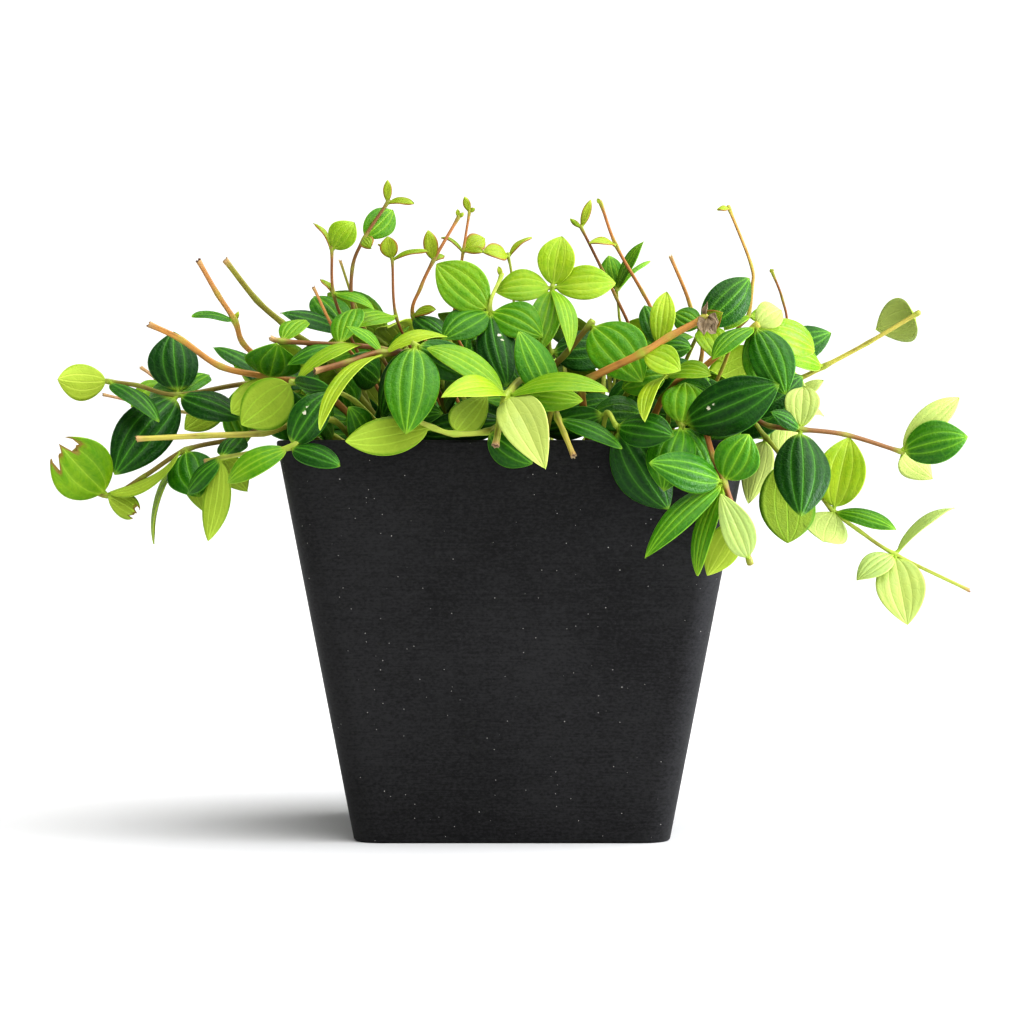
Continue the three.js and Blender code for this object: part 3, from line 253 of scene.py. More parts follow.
FRONT_STEMS: tuple[StemPlan, ...] = (
    StemPlan("reach_left", (-40, -8), 1.9, Bark.DARK_OLIVE, (
        stop(-62, 140, -12), stop(-84, 140.5, -20),
        stop(-106, 137, -28, Leaf(-107.5, 157, -24, 16.5, 15, 1), Leaf(-86, 129.5, -36, 13, 40, 1),
             Leaf(-123, 110, -44, 18, 5, 1), Leaf(-115.5, 134.5, -12, 12, 20, 0.7),
             Leaf(-96, 143, -10, 9, 30, 0.6)),
        stop(-119, 140, -30),
        stop(-128, 141.2, -32, Leaf(-144.2, 142, -38, 12, 185, 0.1), Leaf(-112, 128.5, -48, 11, 62, 0.9)),
    )),
    StemPlan("cut_left_thin", (-34, -20), 1.2, Bark.TAN, (
        stop(-66, 133, -14), stop(-85, 131.5, -6), stop(-104, 131.5, -6), stop(-129.5, 137, -8),
    )),
    StemPlan("behind_left", (-46, 22), 1.5, Bark.TAN, (
        stop(-72, 136, 24),
        stop(-90, 135, 24, Leaf(-84, 122, 30, 11, 10, 0.5), Leaf(-104, 126, 22, 11, 170, 0.4)),
        stop(-108, 139.5, 20, Leaf(-121, 133, 14, 11, 10, 0.35), Leaf(-113, 144.5, 26, 7, 20, 0.3)),
        stop(-117.5, 145.5, 22),
    )),
    StemPlan("reach_low_left", (-52, -26), 1.8, Bark.DARK_OLIVE, (
        stop(-72, 127.5, -32), stop(-88, 123, -36),
        stop(-103.5, 119.5, -42, Leaf(-99.5, 104.5, -56, 15.5, 0, 0.75), Leaf(-97.3, 99.5, -34, 11, 175, 0.4),
             Leaf(-113.5, 89.5, -42, 9, 72, 0.2)),
        stop(-117, 111, -42),
        stop(-128.5, 105, -42, Leaf(-142, 126, -50, 20, 10, 0.3, WearAndBacklight.BITTEN),
             Leaf(-105.5, 119, -58, 10, 245, 0.3), Leaf(-118.5, 99, -50, 8, 180, 0.3, WearAndBacklight.BITTEN)),
        stop(-140, 110.5, -44),
    )),
    StemPlan("cut_left_yellow", (-44, -40), 2.1, Bark.STRAW, (
        stop(-66, 127.5, -52), stop(-79, 124.8, -58), stop(-98, 124, -60), stop(-119, 123, -60),
    )),
    StemPlan("hang_left", (-44, -54), 1.8, Bark.LEAFY, (
        stop(-57, 129, -64), stop(-66, 124.6, -77),
        stop(-70.5, 120.3, -80, Leaf(-54.5, 114.5, -88, 9, 35, 1),
             Leaf(-58, 138, -78, 11.5, 0, 0.95, WearAndBacklight.SCARRED), Leaf(-90.5, 109, -78, 9, 25, 0.45)),
        stop(-83, 118.5, -74),
        stop(-92, 117, -62, Leaf(-96.5, 90.5, -64, 8.5, 180, 0.3), Leaf(-84.5, 107.5, -48, 10, 180, 0.4),
             Leaf(-98.5, 109, -50, 8, 40, 0.9), Leaf(-86, 123.5, -48, 9, 30, 0.95)),
        stop(-97, 116, -56),
    )),
    StemPlan("cut_left_thick", (-38, -30), 2.5, Bark.TAWNY, (
        stop(-60, 138, -34),
        stop(-77, 142.5, -38, Leaf(-95, 152, -32, 10, 62, 0.9), Leaf(-73.5, 155, -50, 18, -12, 0.6),
             Leaf(-89, 131, -50, 10, 175, 0.35)),
        stop(-92.5, 146, -42), stop(-105, 154.5, -42), stop(-115, 159.3, -42),
    )),
    StemPlan("stub_left_front", (-32, -46), 1.8, Bark.LEAFY, (
        stop(-50, 135, -58), stop(-62, 139.5, -64),
        stop(-69.5, 141, -66, Leaf(-86, 127.5, -66, 16, 180, 0.45), Leaf(-46.5, 150.3, -62, 9, 60, 0.2),
             Leaf(-57.5, 139, -76, 8, -50, 1)),
    )),
    StemPlan("cut_left_tall_orange", (-48, 2), 2.2, Bark.ORANGE, (
        stop(-66, 141, 0), stop(-79, 148, -4), stop(-85.5, 153.5, -6),
        stop(-88, 160.5, -8, Leaf(-101.7, 162, -14, 7, 65, 0.8), Leaf(-86.8, 163.5, -8, 1.6, 0, 0.2)),
        stop(-93.5, 169, -10), stop(-99.5, 179.5, -12),
    )),
    StemPlan("cut_left_tall_olive", (-34, 10), 2.6, Bark.OLIVE, (
        stop(-56, 146, 6), stop(-70, 157, 2), stop(-72.5, 159.5, 0), stop(-81, 167, -2),
        stop(-91, 179.7, -6),
    )),
    StemPlan("cut_mid_left_slim", (-22, -20), 1.3, Bark.ORANGE, (
        stop(-42, 141, -28), stop(-54.5, 154.5, -38), stop(-63, 171, -44),
    )),
    StemPlan("lying_brown", (-14, -34), 1.9, Bark.BROWN, (
        stop(-28, 146, -44), stop(-41, 151.5, -50),
        stop(-54.5, 152.8, -52, Leaf(-71, 146, -50, 9, 50, 0.8), Leaf(-50, 163, -36, 11, 30, 0.5)),
        stop(-73, 154, -50, Leaf(-65, 160.5, -40, 9, 40, 0.4)),
        stop(-76.5, 155, -50),
    )),
    StemPlan("cut_front_brown", (-20, -48), 2.3, Bark.BROWN, (
        stop(-30, 146.5, -56),
        stop(-41, 150.3, -62, Leaf(-20.5, 155.5, -58, 8, 58, 0.12), Leaf(-54.5, 156, -60, 7, 60, 0.5),
             Leaf(-62.5, 123.5, -90, 8, 50, 0.1)),
        stop(-52, 147.3, -68), stop(-62.5, 144.5, -72),
    )),
    StemPlan("hang_striped", (-8, -54), 1.6, Bark.LEAFY, (
        stop(-20, 146, -62),
        stop(-30.8, 153, -68, Leaf(-33.5, 124.5, -86, 17, 0, 0.62), Leaf(-47, 141, -50, 10, 20, 1),
             Leaf(-12, 143, -64, 12, 10, 0.85)),
    )),
    StemPlan("along_rim", (-2, -58), 2, Bark.LEAFY, (
        stop(-1, 128.5, -64, Leaf(-31, 124.6, -60, 11, 10, 0.95)),
        stop(-8, 125.3, -75, Leaf(6.5, 115, -76, 12, 5, 0.85)),
        stop(-18.5, 124.6, -78, Leaf(-8, 137, -64, 11, 185, 0.35)),
        stop(-25, 126.5, -79, Leaf(-53, 122.3, -82, 12, 190, 0.35)),
        stop(-31.5, 129.5, -80),
    )),
    StemPlan("centre_whorl", (8, -42), 2.5, Bark.LEAFY, (
        stop(5, 141, -54),
        stop(-1.5, 137, -70, Leaf(10.5, 113.5, -95, 14.5, 0, 0, WearAndBacklight.BACKLIT),
             Leaf(30.5, 138.3, -84, 11, 55, 0.3), Leaf(22.5, 135, -68, 9, 10, 0.35),
             Leaf(-27, 152, -70, 12, 45, 0.35), Leaf(-22.5, 136, -96, 10, 45, 0.12)),
        stop(-3.6, 130, -74), stop(-5.2, 121, -82),
    )),
    StemPlan("stub_front", (9, -54), 1.9, Bark.STRAW, (
        stop(13, 134, -64),
        stop(14.5, 129.5, -74, Leaf(36, 122.5, -80, 10, 55, 0.85)),
        stop(16.5, 125, -79), stop(19.5, 117.7, -82),
    )),
    StemPlan("centre_tall_whorl", (2, -24), 1.6, Bark.LEAFY, (
        stop(-2, 145, -34),
        stop(-7, 163.5, -46, Leaf(-1.5, 139.5, -60, 12.5, 0, 1, WearAndBacklight.SCARRED),
             Leaf(-24, 178.5, -46, 15.5, 10, 0.35), Leaf(10.5, 155, -52, 13.5, 20, 0.5),
             Leaf(-22, 154.5, -54, 13, 30, 0.7)),
        stop(-3.5, 174.5, -44, Leaf(-4.3, 177.8, -44, 1.7, 0, 0.2)),
    )),
    StemPlan("lime_whorl", (15, -16), 1.5, Bark.LEAFY, (
        stop(12, 150, -28),
        stop(12.8, 171, -40, Leaf(15.8, 187.3, -38, 12, 0, 0.1), Leaf(33, 172.5, -38, 12, 20, 0.15),
             Leaf(-4.5, 170, -46, 11.5, 25, 0.2), Leaf(19.4, 144, -58, 7, 30, 0.35),
             Leaf(7.5, 149.5, -52, 10, 0, 0.4)),
    )),
    StemPlan("shoot_far_left", (-30, 0), 1.3, Bark.RED_BROWN, (
        stop(-46, 145, -12),
        stop(-52, 157, -18, Leaf(-73.5, 163, -24, 11, 60, 1), Leaf(-63, 168, -2, 12, 30, 0.7)),
        stop(-56.7, 169.3, -22, Leaf(-43.5, 164, -26, 7, 60, 0.5), Leaf(-61, 173.5, -18, 3.5, 60, 0.4)),
        stop(-57.2, 183, -22, Leaf(-50, 191.8, -22, 9.5, 0, 0.2), Leaf(-63, 191.5, -20, 2.6, 60, 0.3),
             Leaf(-49.8, 187, -14, 4, 60, 0.3)),
    )),
    StemPlan("shoot_highest", (-22, 14), 1.5, Bark.BROWN, (
        stop(-42, 150, 4), stop(-50, 163, -4), stop(-50.7, 177, -4),
        stop(-47, 186.5, -4, Leaf(-44.7, 183.6, -10, 5, 0, 0.5), Leaf(-38, 195.7, 4, 10, 0, 0.5)),
        stop(-39.5, 198, -2, Leaf(-39.5, 205.3, -2, 3, 0, 0.2), Leaf(-31, 197.6, -4, 3.6, 40, 0.3)),
    )),
    StemPlan("cut_left_back_slim", (-38, 20), 1.2, Bark.OLIVE, (
        stop(-44, 150, 14), stop(-50, 166, 10), stop(-54.5, 179.5, 8),
    )),
    StemPlan("shoot_left_of_centre", (-14, 4), 1.2, Bark.RED_BROWN, (
        stop(-30, 148, -4),
        stop(-36.8, 162, -12, Leaf(-53, 157.5, -26, 11, 50, 0.4)),
        stop(-38, 180, -12, Leaf(-39.6, 187.3, -12, 6, 0, 0.15), Leaf(-26.5, 182.6, -14, 3.2, 50, 0.5),
             Leaf(-43, 185, -8, 2.4, 60, 0.3)),
    )),
    StemPlan("shoot_forked", (-8, 14), 1.4, Bark.RUST, (
        stop(-24, 148, 2),
        stop(-31.5, 162, -4, Leaf(-24, 164, -10, 4.5, 40, 0.4), Leaf(-20.5, 155, -14, 9, 30, 0.95)),
        stop(-29, 171, -6),
        stop(-25, 179.5, -6, Leaf(-26.6, 189.3, -6, 5, 0, 0.15), Leaf(-21.5, 181, -2, 3, 40, 0.5)),
        stop(-17, 193.3, -4, Leaf(-17.3, 196, -4, 1.5, 0, 0.2), Leaf(-15.3, 194.8, -4, 1.5, 0, 0.3)),
    )),
    StemPlan("shoot_centre", (-2, 26), 1.2, Bark.RUST, (
        stop(-14, 148, 14), stop(-18.5, 158.5, 10), stop(-17.3, 170, 8),
        stop(-15.5, 182.5, 8, Leaf(-8.5, 186.5, 12, 7, 0, 0.2), Leaf(-9, 182, 2, 4.5, 50, 0.4),
             Leaf(-22.5, 187, 12, 2.6, 60, 0.5)),
        stop(-13.5, 195, 8, Leaf(-15, 200, 8, 2.6, 0, 0.15), Leaf(-11.7, 196.2, 8, 1.6, 0, 0.3)),
    )),
    StemPlan("shoot_by_centre", (7, 16), 1.2, Bark.LEAFY, (
        stop(2, 150, 6), stop(0, 174, -4),
        stop(-1.2, 181, -6, Leaf(-9.3, 182.5, -12, 7, 35, 0.15), Leaf(6.3, 187, -4, 3, 50, 0.2)),
    )),
    StemPlan("shoot_right_of_centre", (27, 4), 1.3, Bark.RED_BROWN, (
        stop(36, 147, -4), stop(38, 156, -6), stop(33, 168, -8), stop(28.5, 177, -8),
        stop(22, 190, -8, Leaf(25, 199, -8, 3, 0, 0.15), Leaf(18.3, 193, -8, 1.8, 0, 0.6)),
    )),
    StemPlan("shoot_right", (38, 14), 1.4, Bark.RUST, (
        stop(47, 150, 4), stop(44.5, 163, -2), stop(41.5, 169.5, -2),
        stop(33, 184.5, -4, Leaf(23, 184.7, -10, 4.5, 50, 0.2)),
        stop(28.3, 197.5, -4, Leaf(27, 199.3, -4, 1.5, 0, 0.2)),
    )),
    StemPlan("shoot_right_behind", (28, 26), 1.1, Bark.LEAFY, (
        stop(34.5, 152, 16), stop(34, 162, 12),
        stop(33.2, 170, 8, Leaf(42, 185.7, 2, 5.5, 45, 0.6), Leaf(30.7, 181.3, 10, 8, 0, 0.55),
             Leaf(44, 179.3, 14, 2.8, 50, 0.6)),
    )),
    StemPlan("cut_right_slim", (46, -4), 1.6, Bark.ORANGE, (
        stop(60, 148, -14), stop(56.5, 165.5, -18), stop(50.4, 180.8, -20),
    )),
    StemPlan("cut_centre_olive", (5, -33), 2.3, Bark.DARK_OLIVE, (
        stop(6, 137, -42), stop(11, 144, -48), stop(17, 150, -52),
        stop(25, 159.6, -58, Leaf(41.5, 141, -70, 18, 5, 0.5)),
    )),
    StemPlan("cut_right_brown", (24, -49), 2.6, Bark.TAWNY, (
        stop(22, 139, -60), stop(25, 142.3, -70),
        stop(41.5, 150.3, -76, Leaf(53.5, 144.5, -78, 10, 20, 0.15)),
        stop(50, 155.5, -76),
        stop(61, 161.3, -76, Leaf(64.5, 157, -78, 6, 0, 2), Leaf(62.5, 166.5, -76, 2, 0, 2),
             Leaf(60.8, 156.5, -80, 4, 0, 2)),
    )),
    StemPlan("upright_lime", (30, -28), 1.5, Bark.LEAFY, (
        stop(38, 141, -42),
        stop(46.5, 152, -54, Leaf(49, 169.7, -50, 8, 0, 0.12), Leaf(42, 165.5, -42, 8, 10, 0.85),
             Leaf(57, 152, -58, 9, 30, 0.8)),
    )),
    StemPlan("behind_husk", (42, -16), 1.6, Bark.LEAFY, (
        stop(54, 145, -26),
        stop(60, 158.5, -36, Leaf(75.3, 174, -30, 13.5, 0, 0.85), Leaf(51.5, 162.8, -32, 9, 15, 0.6),
             Leaf(66.5, 147.5, -50, 10, 10, 0.25), Leaf(67, 163, -44, 7, 10, 0.4)),
    )),
    StemPlan("cut_right_thick", (38, -46), 2.3, Bark.TAWNY, (
        stop(49, 138, -56), stop(58, 143.5, -62), stop(67, 151, -68),
        stop(77.3, 158.8, -72, Leaf(87, 137, -84, 13.5, 0, 0.8), Leaf(85.3, 164, -68, 9, 10, 0.1, WearAndBacklight.BACKLIT),
             Leaf(63.5, 148, -80, 9, 50, 0.6), Leaf(96, 151, -56, 11, 20, 0.25),
             Leaf(79.5, 139, -66, 12, 0, 0.5)),
    )),
    StemPlan("shoot_far_right", (54, 2), 1.3, Bark.GINGER, (
        stop(67, 146, -10), stop(71, 157, -16),
        stop(75, 162, -18, Leaf(87, 159.5, -12, 9, 35, 0.3), Leaf(67.5, 157.5, -26, 7, 50, 0.4)),
        stop(76.2, 171, -18), stop(76, 178, -18),
        stop(69, 196, -18, Leaf(65, 195.6, -20, 2.4, 40, 0.1)),
    )),
    StemPlan("shoot_edge_right", (56, 16), 1.1, Bark.RED_BROWN, (
        stop(81, 147, 6), stop(87, 158.5, 0), stop(85.8, 167.5, -2),
        stop(82.8, 175.5, -4, Leaf(82, 177, -4, 1.5, 0, 0.2)),
    )),
    StemPlan("over_rim_right", (46, -56), 1.9, Bark.LEAFY, (
        stop(50, 131, -66),
        stop(53.8, 127.3, -76, Leaf(86, 136.5, -90, 17, 5, 1, WearAndBacklight.SCARRED),
             Leaf(48, 106.5, -88, 15, 15, 0.7), Leaf(66.5, 112.5, -76, 10, 20, 0.75),
             Leaf(68, 121.5, -73, 8, 50, 0.9), Leaf(55, 141, -72, 15, 0, 0.45)),
    )),
    StemPlan("hang_right", (57, -46), 1.9, Bark.RED_BROWN, (
        stop(60, 131, -62), stop(61.5, 125.3, -76), stop(64, 117, -85),
        stop(67.3, 109.3, -88, Leaf(43.5, 115.5, -100, 12.5, 20, 0.72), Leaf(75.2, 124.5, -90, 14, 0, 0.6),
             Leaf(42.2, 85, -97, 9, 30, 0.65), Leaf(58.8, 79.5, -86, 8.5, 45, 0.5),
             Leaf(57.5, 98, -80, 8, 180, 0.3)),
        stop(71.5, 97, -86, Leaf(62, 79.5, -80, 10.5, 180, 0.15)),
        stop(75.4, 84.2, -84, Leaf(66.3, 105.5, -97, 10, 0, 0.3, WearAndBacklight.BACKLIT)),
    )),
    StemPlan("hang_right_dark", (26, -58), 1.7, Bark.LEAFY, (
        stop(30, 131, -66, Leaf(5, 124.8, -64, 10, 0, 0.95)),
        stop(33, 127.3, -76, Leaf(39.5, 96.5, -72, 17, 0, 1), Leaf(51, 121, -90, 12, 20, 0.95)),
    )),
    StemPlan("right_filler", (24, -40), 1.6, Bark.LEAFY, (
        stop(37, 138, -52),
        stop(49.5, 143.5, -66, Leaf(27.5, 129.5, -88, 9, 55, 0.1), Leaf(63, 141, -78, 9, 45, 0.3),
             Leaf(35, 139, -62, 12, 25, 0.55)),
    )),
    StemPlan("reach_right_high", (58, -14), 1.7, Bark.STRAW, (
        stop(75, 135, -24), stop(91, 142, -30),
        stop(99, 146, -32, Leaf(81.5, 150, -42, 11, 35, 0.3)),
        stop(113, 153.5, -34),
        stop(128.5, 162.7, -36, Leaf(115.5, 158, -22, 15, 175, 0.2, WearAndBacklight.BACKLIT)),
    )),
    StemPlan("reach_right", (58, -34), 1.6, Bark.BROWN, (
        stop(73, 129.5, -50), stop(82, 127, -58),
        stop(91.5, 126, -64, Leaf(91.7, 98.5, -80, 17.5, 0, 1), Leaf(82, 131.5, -70, 6, 30, 1),
             Leaf(92.5, 139.5, -54, 11, 10, 0.1, WearAndBacklight.BACKLIT)),
        stop(106, 124.3, -62),
        stop(123.3, 119, -58, Leaf(144.7, 123.7, -62, 13.5, 0, 0.7),
             Leaf(142, 136, -54, 9, 20, 0.12, WearAndBacklight.BACKLIT), Leaf(133.5, 110.5, -48, 11, 180, 0.2, WearAndBacklight.BACKLIT)),
    )),
    StemPlan("reach_low_right", (60, -24), 1.5, Bark.LEAFY, (
        stop(74, 129, -34),
        stop(80.5, 123.5, -42, Leaf(74.5, 103.5, -28, 10, 180, 0.1, WearAndBacklight.BACKLIT)),
        stop(86.5, 116.5, -46, Leaf(87.8, 90, -62, 18, 175, 0.55)),
        stop(97, 106, -48),
        stop(102, 100, -50, Leaf(107, 123.5, -50, 15.5, 0, 0.1), Leaf(99, 90.3, -60, 15, 180, 0.4, WearAndBacklight.BACKLIT),
             Leaf(122, 94, -58, 8, 45, 0.65)),
        stop(110, 94, -50),
        stop(121.3, 86.5, -50, Leaf(125.5, 64, -58, 15.5, 0, 0.12, WearAndBacklight.BACKLIT),
             Leaf(109.5, 78, -58, 9, 35, 0.3, WearAndBacklight.BACKLIT), Leaf(140.5, 101, -44, 5.5, 60, 0.3, WearAndBacklight.BACKLIT)),
        stop(145, 75, -50),
    )),
    StemPlan("pale_right", (60, 2), 1.4, Bark.LEAFY, (
        stop(77, 135, -4),
        stop(88, 132.5, -8, Leaf(99, 141.5, -10, 6, 40, 0.15, WearAndBacklight.BACKLIT),
             Leaf(99, 130.3, -2, 6, 50, 0.2, WearAndBacklight.BACKLIT), Leaf(87, 146, -16, 11, 0, 0.3, WearAndBacklight.BACKLIT),
             Leaf(86, 117, -16, 10, 170, 0.2, WearAndBacklight.BACKLIT)),
    )),
)


@dataclass(frozen=True)
class PotShape:
    """The pot's sizes, in millimetres."""

    height: float = 121
    rim_half: float = 70
    base_half: float = 48
    corner_radius: float = 9
    wall: float = 3.2
    floor: float = 4
    edge_rounding: float = 1
    drain_radius: float = 4
    drain_offset: float = 17

    def outer_half(self, z: float) -> float:
        """Half the pot's outer width at a height."""
        return self.base_half + ((self.rim_half - self.base_half) * z) / self.height

    def outside(self, x: float, y: float, half: float) -> float:
        """How far a point lies outside a rounded square about the middle, or inside it where negative."""
        a = abs(x) - (half - self.corner_radius)
        b = abs(y) - (half - self.corner_radius)
        return (math.hypot(a, b) if a > 0 and b > 0 else max(a, b)) - self.corner_radius


@dataclass(frozen=True)
class SoilShape:
    """The soil's sizes, in millimetres. Ripples are how fast each of its two waves runs across and back."""

    top: float = 109
    crown: float = 3
    bump: float = 0.8
    ripples: tuple[Pair, Pair] = ((0.31, 0.17), (0.11, 0.23))
    gap: float = 0.35

    def height(self, x: float, y: float) -> float:
        """The soil's height, slightly crowned and uneven."""
        (first_x, first_y), (second_x, second_y) = self.ripples
        crown = self.crown * (1 - (x * x + y * y) / (2 * POT.rim_half * POT.rim_half))
        wave = math.sin(x * first_x + y * first_y) * math.cos(y * second_y - x * second_x)
        return self.top + crown + self.bump * wave


POT = PotShape()
SOIL = SoilShape()


@dataclass(frozen=True)
class Spacing:
    """How near things may lie, in millimetres, and what is tried to keep them apart."""

    elbow_room: float = 2.2
    cell: float = 4
    near_node: float = 7
    pot_room: float = 1.3
    sample_step: float = 2.2
    stem_room: float = 0.7
    own_share: float = 0.04
    shrinks: tuple[float, ...] = (1, 0.86, 0.72)
    turns_aside: tuple[float, ...] = (7, 14, 22, 30, 40)
    lean_steps: tuple[float, ...] = (0, 3, -3, 6, -6, 9, -9, 12, -12)

    def tries(self) -> list[tuple[float, float, Point]]:
        """What a leaf tries in turn: its size, and how far it turns aside and which way."""
        turns = [(0, UP), *((aside, way) for aside in self.turns_aside for way in WAYS)]
        return [(shrink, aside, way) for shrink in self.shrinks for aside, way in turns]

    def leans(self) -> list[Pair]:
        """How far a stem's first and last stop may lean forth or back, least first."""
        pairs = [(first, last) for first in self.lean_steps for last in self.lean_steps]
        return sorted(pairs, key=lambda pair: abs(pair[0]) + abs(pair[1]))


SPACING = Spacing()


def clear_of_pot(place: Point) -> bool:
    """Whether a point is clear of the pot's wall and of the soil."""
    if place.z > POT.height + SPACING.pot_room:
        return True
    outside = POT.outside(place.x, place.y, POT.outer_half(place.z))
    if outside > SPACING.pot_room:
        return True
    above = place.z > SOIL.height(place.x, place.y) + SPACING.pot_room
    return outside < -POT.wall - SPACING.pot_room and above


class Room:
    """Points that are taken up by stems and blades, found by the cell that they lie in."""

    def __init__(self) -> None:
        """Starts with nothing taken."""
        self.cells: dict[tuple[int, int, int], list[tuple[Point, float, str]]] = {}

    def cell(self, place: Point) -> tuple[int, int, int]:
        """The cell that a point lies in."""
        size = SPACING.cell
        return (math.floor(place.x / size), math.floor(place.y / size), math.floor(place.z / size))

    def add(self, place: Point, reach: float, clump: str) -> None:
        """Takes up a point for a clump."""
        self.cells.setdefault(self.cell(place), []).append((place, reach, clump))

    def conflicts(self, place: Point, reach: float, clump: str, origin: Point | None) -> float:
        """Counts the taken points that lie too near a point.

        Args:
            place: The point.
            reach: How far the thing at the point reaches.
            clump: The clump that the point belongs to.
            origin: Where a leaf grows from, near which its own clump doesn't count. A stem's points have
                none, and its own clump doesn't count at all.

        Returns:
            The count, in which points of its own clump have a small share.
        """
        i, j, k = self.cell(place)
        count = 0.0
        for a in (i - 1, i, i + 1):
            for b in (j - 1, j, j + 1):
                for c in (k - 1, k, k + 1):
                    for taken, taken_reach, owner in self.cells.get((a, b, c), ()):
                        if taken.minus(place).length() >= taken_reach + reach:
                            continue
                        own = owner == clump
                        if own and (origin is None or taken.minus(origin).length() < SPACING.near_node):
                            continue
                        count += SPACING.own_share if own else 1
        return count


class SmoothPath:
    """A smooth curve through points, of the kind that the part's source uses."""

    def __init__(self, points: list[Point]) -> None:
        """Keeps the points, with one more beyond each end."""
        first = points[0].minus(points[1]).moved(points[0], 1)
        last = points[-1].minus(points[-2]).moved(points[-1], 1)
        self.points = [first, *points, last]
        self.spans = len(points) - 1

    def at(self, position: float) -> Point:
        """The point at a position, where whole numbers are the points themselves."""
        span = min(math.floor(position), self.spans - 1)
        weight = position - span
        before, start, end, after = self.points[span:span + 4]
        values = []
        for p0, p1, p2, p3 in zip(before, start, end, after):
            leaving, arriving = 0.5 * (p2 - p0), 0.5 * (p3 - p1)
            square = -3 * p1 + 3 * p2 - 2 * leaving - arriving
            cube = 2 * p1 - 2 * p2 + leaving + arriving
            values.append(p1 + leaving * weight + square * weight ** 2 + cube * weight ** 3)
        return Point(*values)


@dataclass(frozen=True)
class WantedLeaf:
    """A leaf that a stem wants to grow, before it has found its room."""

    tip: Point
    width: float
    turn: float
    age: float
    facing: Point
    plain: bool
    wear_and_backlight: WearAndBacklight = WearAndBacklight.SOUND


@dataclass(frozen=True)
class DeepLeaf:
    """A leaf deep in the bush: how far up to the first stop it grows, its reach, width, turn and age."""

    share: float
    reach: Point
    width: float
    turn: float
    age: float


@dataclass(frozen=True)
class GrownStop:
    """A stop's place in space, with the leaves that it wants."""

    place: Point
    leaves: tuple[WantedLeaf, ...]


@dataclass(frozen=True)
class BladeSizes:
    """What all blades share."""

    petiole_share: float = 0.14
    petiole_most: float = 3.8
    skew: float = 0.85
    bluntness: float = 0.75
    arch: float = 0.12
    young_fold: float = 0.3
    old_fold: float = -0.38
    husk_fold: float = 0.9
    plain_fold_share: float = 0.4
    least_facing: float = 0.2

    def fullness(self, share: float) -> float:
        """How full a blade is from its base, 0, to its tip, 1."""
        return max(0.0, math.sin(math.pi * share ** self.skew)) ** self.bluntness

    def arched(self, length: float, share: float) -> float:
        """How far a blade of a length has arched up at a share of it."""
        return self.arch * length * 4 * share * (1 - share)


BLADES = BladeSizes()


@dataclass(frozen=True)
class Blade:
    """A placed leaf: its axes, its sizes and its bend."""

    base: Point
    axis: Point
    normal: Point
    side: Point
    petiole: float
    length: float
    half: float
    fold: float
    age: float
    plain: bool
    wear_and_backlight: WearAndBacklight

    @staticmethod
    def aimed(base: Point, axis: Point, length: float, width: float, wanted: WantedLeaf) -> "Blade":
        """Aims a blade from its base along its axis.

        Args:
            base: Where the leaf grows from.
            axis: The way to its tip.
            length: From the base to the tip.
            width: The blade's width.
            wanted: The leaf's turn, age and facing.

        Returns:
            The blade.
        """
        towards = wanted.facing.flattened(axis)
        if towards.length() < BLADES.least_facing:
            towards = UP.flattened(axis)
        towards = towards.unit()
        upwards = axis.cross(towards)
        if upwards.z < 0:
            upwards = upwards.times(-1)
        turn = wanted.turn * DEGREE
        normal = towards.times(math.cos(turn)).moved(upwards, math.sin(turn))
        petiole = min(BLADES.petiole_most, BLADES.petiole_share * length)
        fold = BLADES.young_fold + (BLADES.old_fold - BLADES.young_fold) * min(wanted.age, 1)
        fold *= BLADES.plain_fold_share if wanted.plain else 1
        fold = BLADES.husk_fold if wanted.age > 1 else fold
        return Blade(
            base=base, axis=axis, normal=normal, side=normal.cross(axis), petiole=petiole,
            length=length - petiole, half=width / 2, fold=fold, age=wanted.age, plain=wanted.plain,
            wear_and_backlight=wanted.wear_and_backlight,
        )

    def at(self, along: float, across: float) -> Point:
        """The point on the blade, along it from 0 to 1 and across it from -1 to 1."""
        half = self.half * BLADES.fullness(along)
        rise = BLADES.arched(self.length, along) + self.fold * abs(across) * half
        centre = self.base.moved(self.axis, self.petiole + self.length * along)
        return centre.moved(self.side, across * half).moved(self.normal, rise)

    def samples(self) -> list[Point]:
        """Points close together over the blade."""
        found = []
        rows = math.ceil(self.length / SPACING.sample_step)
        for row in range(rows + 1):
            along = row / rows
            columns = math.ceil((self.half * BLADES.fullness(along)) / SPACING.sample_step)
            for column in range(-columns, columns + 1):
                found.append(self.at(along, 0 if columns == 0 else column / columns))
        return found


@dataclass(frozen=True)
class StemSizes:
    """What all stems share, in millimetres."""

    root_depth: float = 11
    root_rise: float = 5
    step: float = 13
    tip_share: float = 0.72
    bud: float = 1.1


STEMS = StemSizes()


@dataclass(frozen=True)
class StemRoute:
    """A stem's path through its stops, with the stops' places and shifts."""

    rings: tuple[Point, ...]
    places: tuple[Point, ...]
    shifts: tuple[float, ...]
    first_steps: int
    curve: SmoothPath


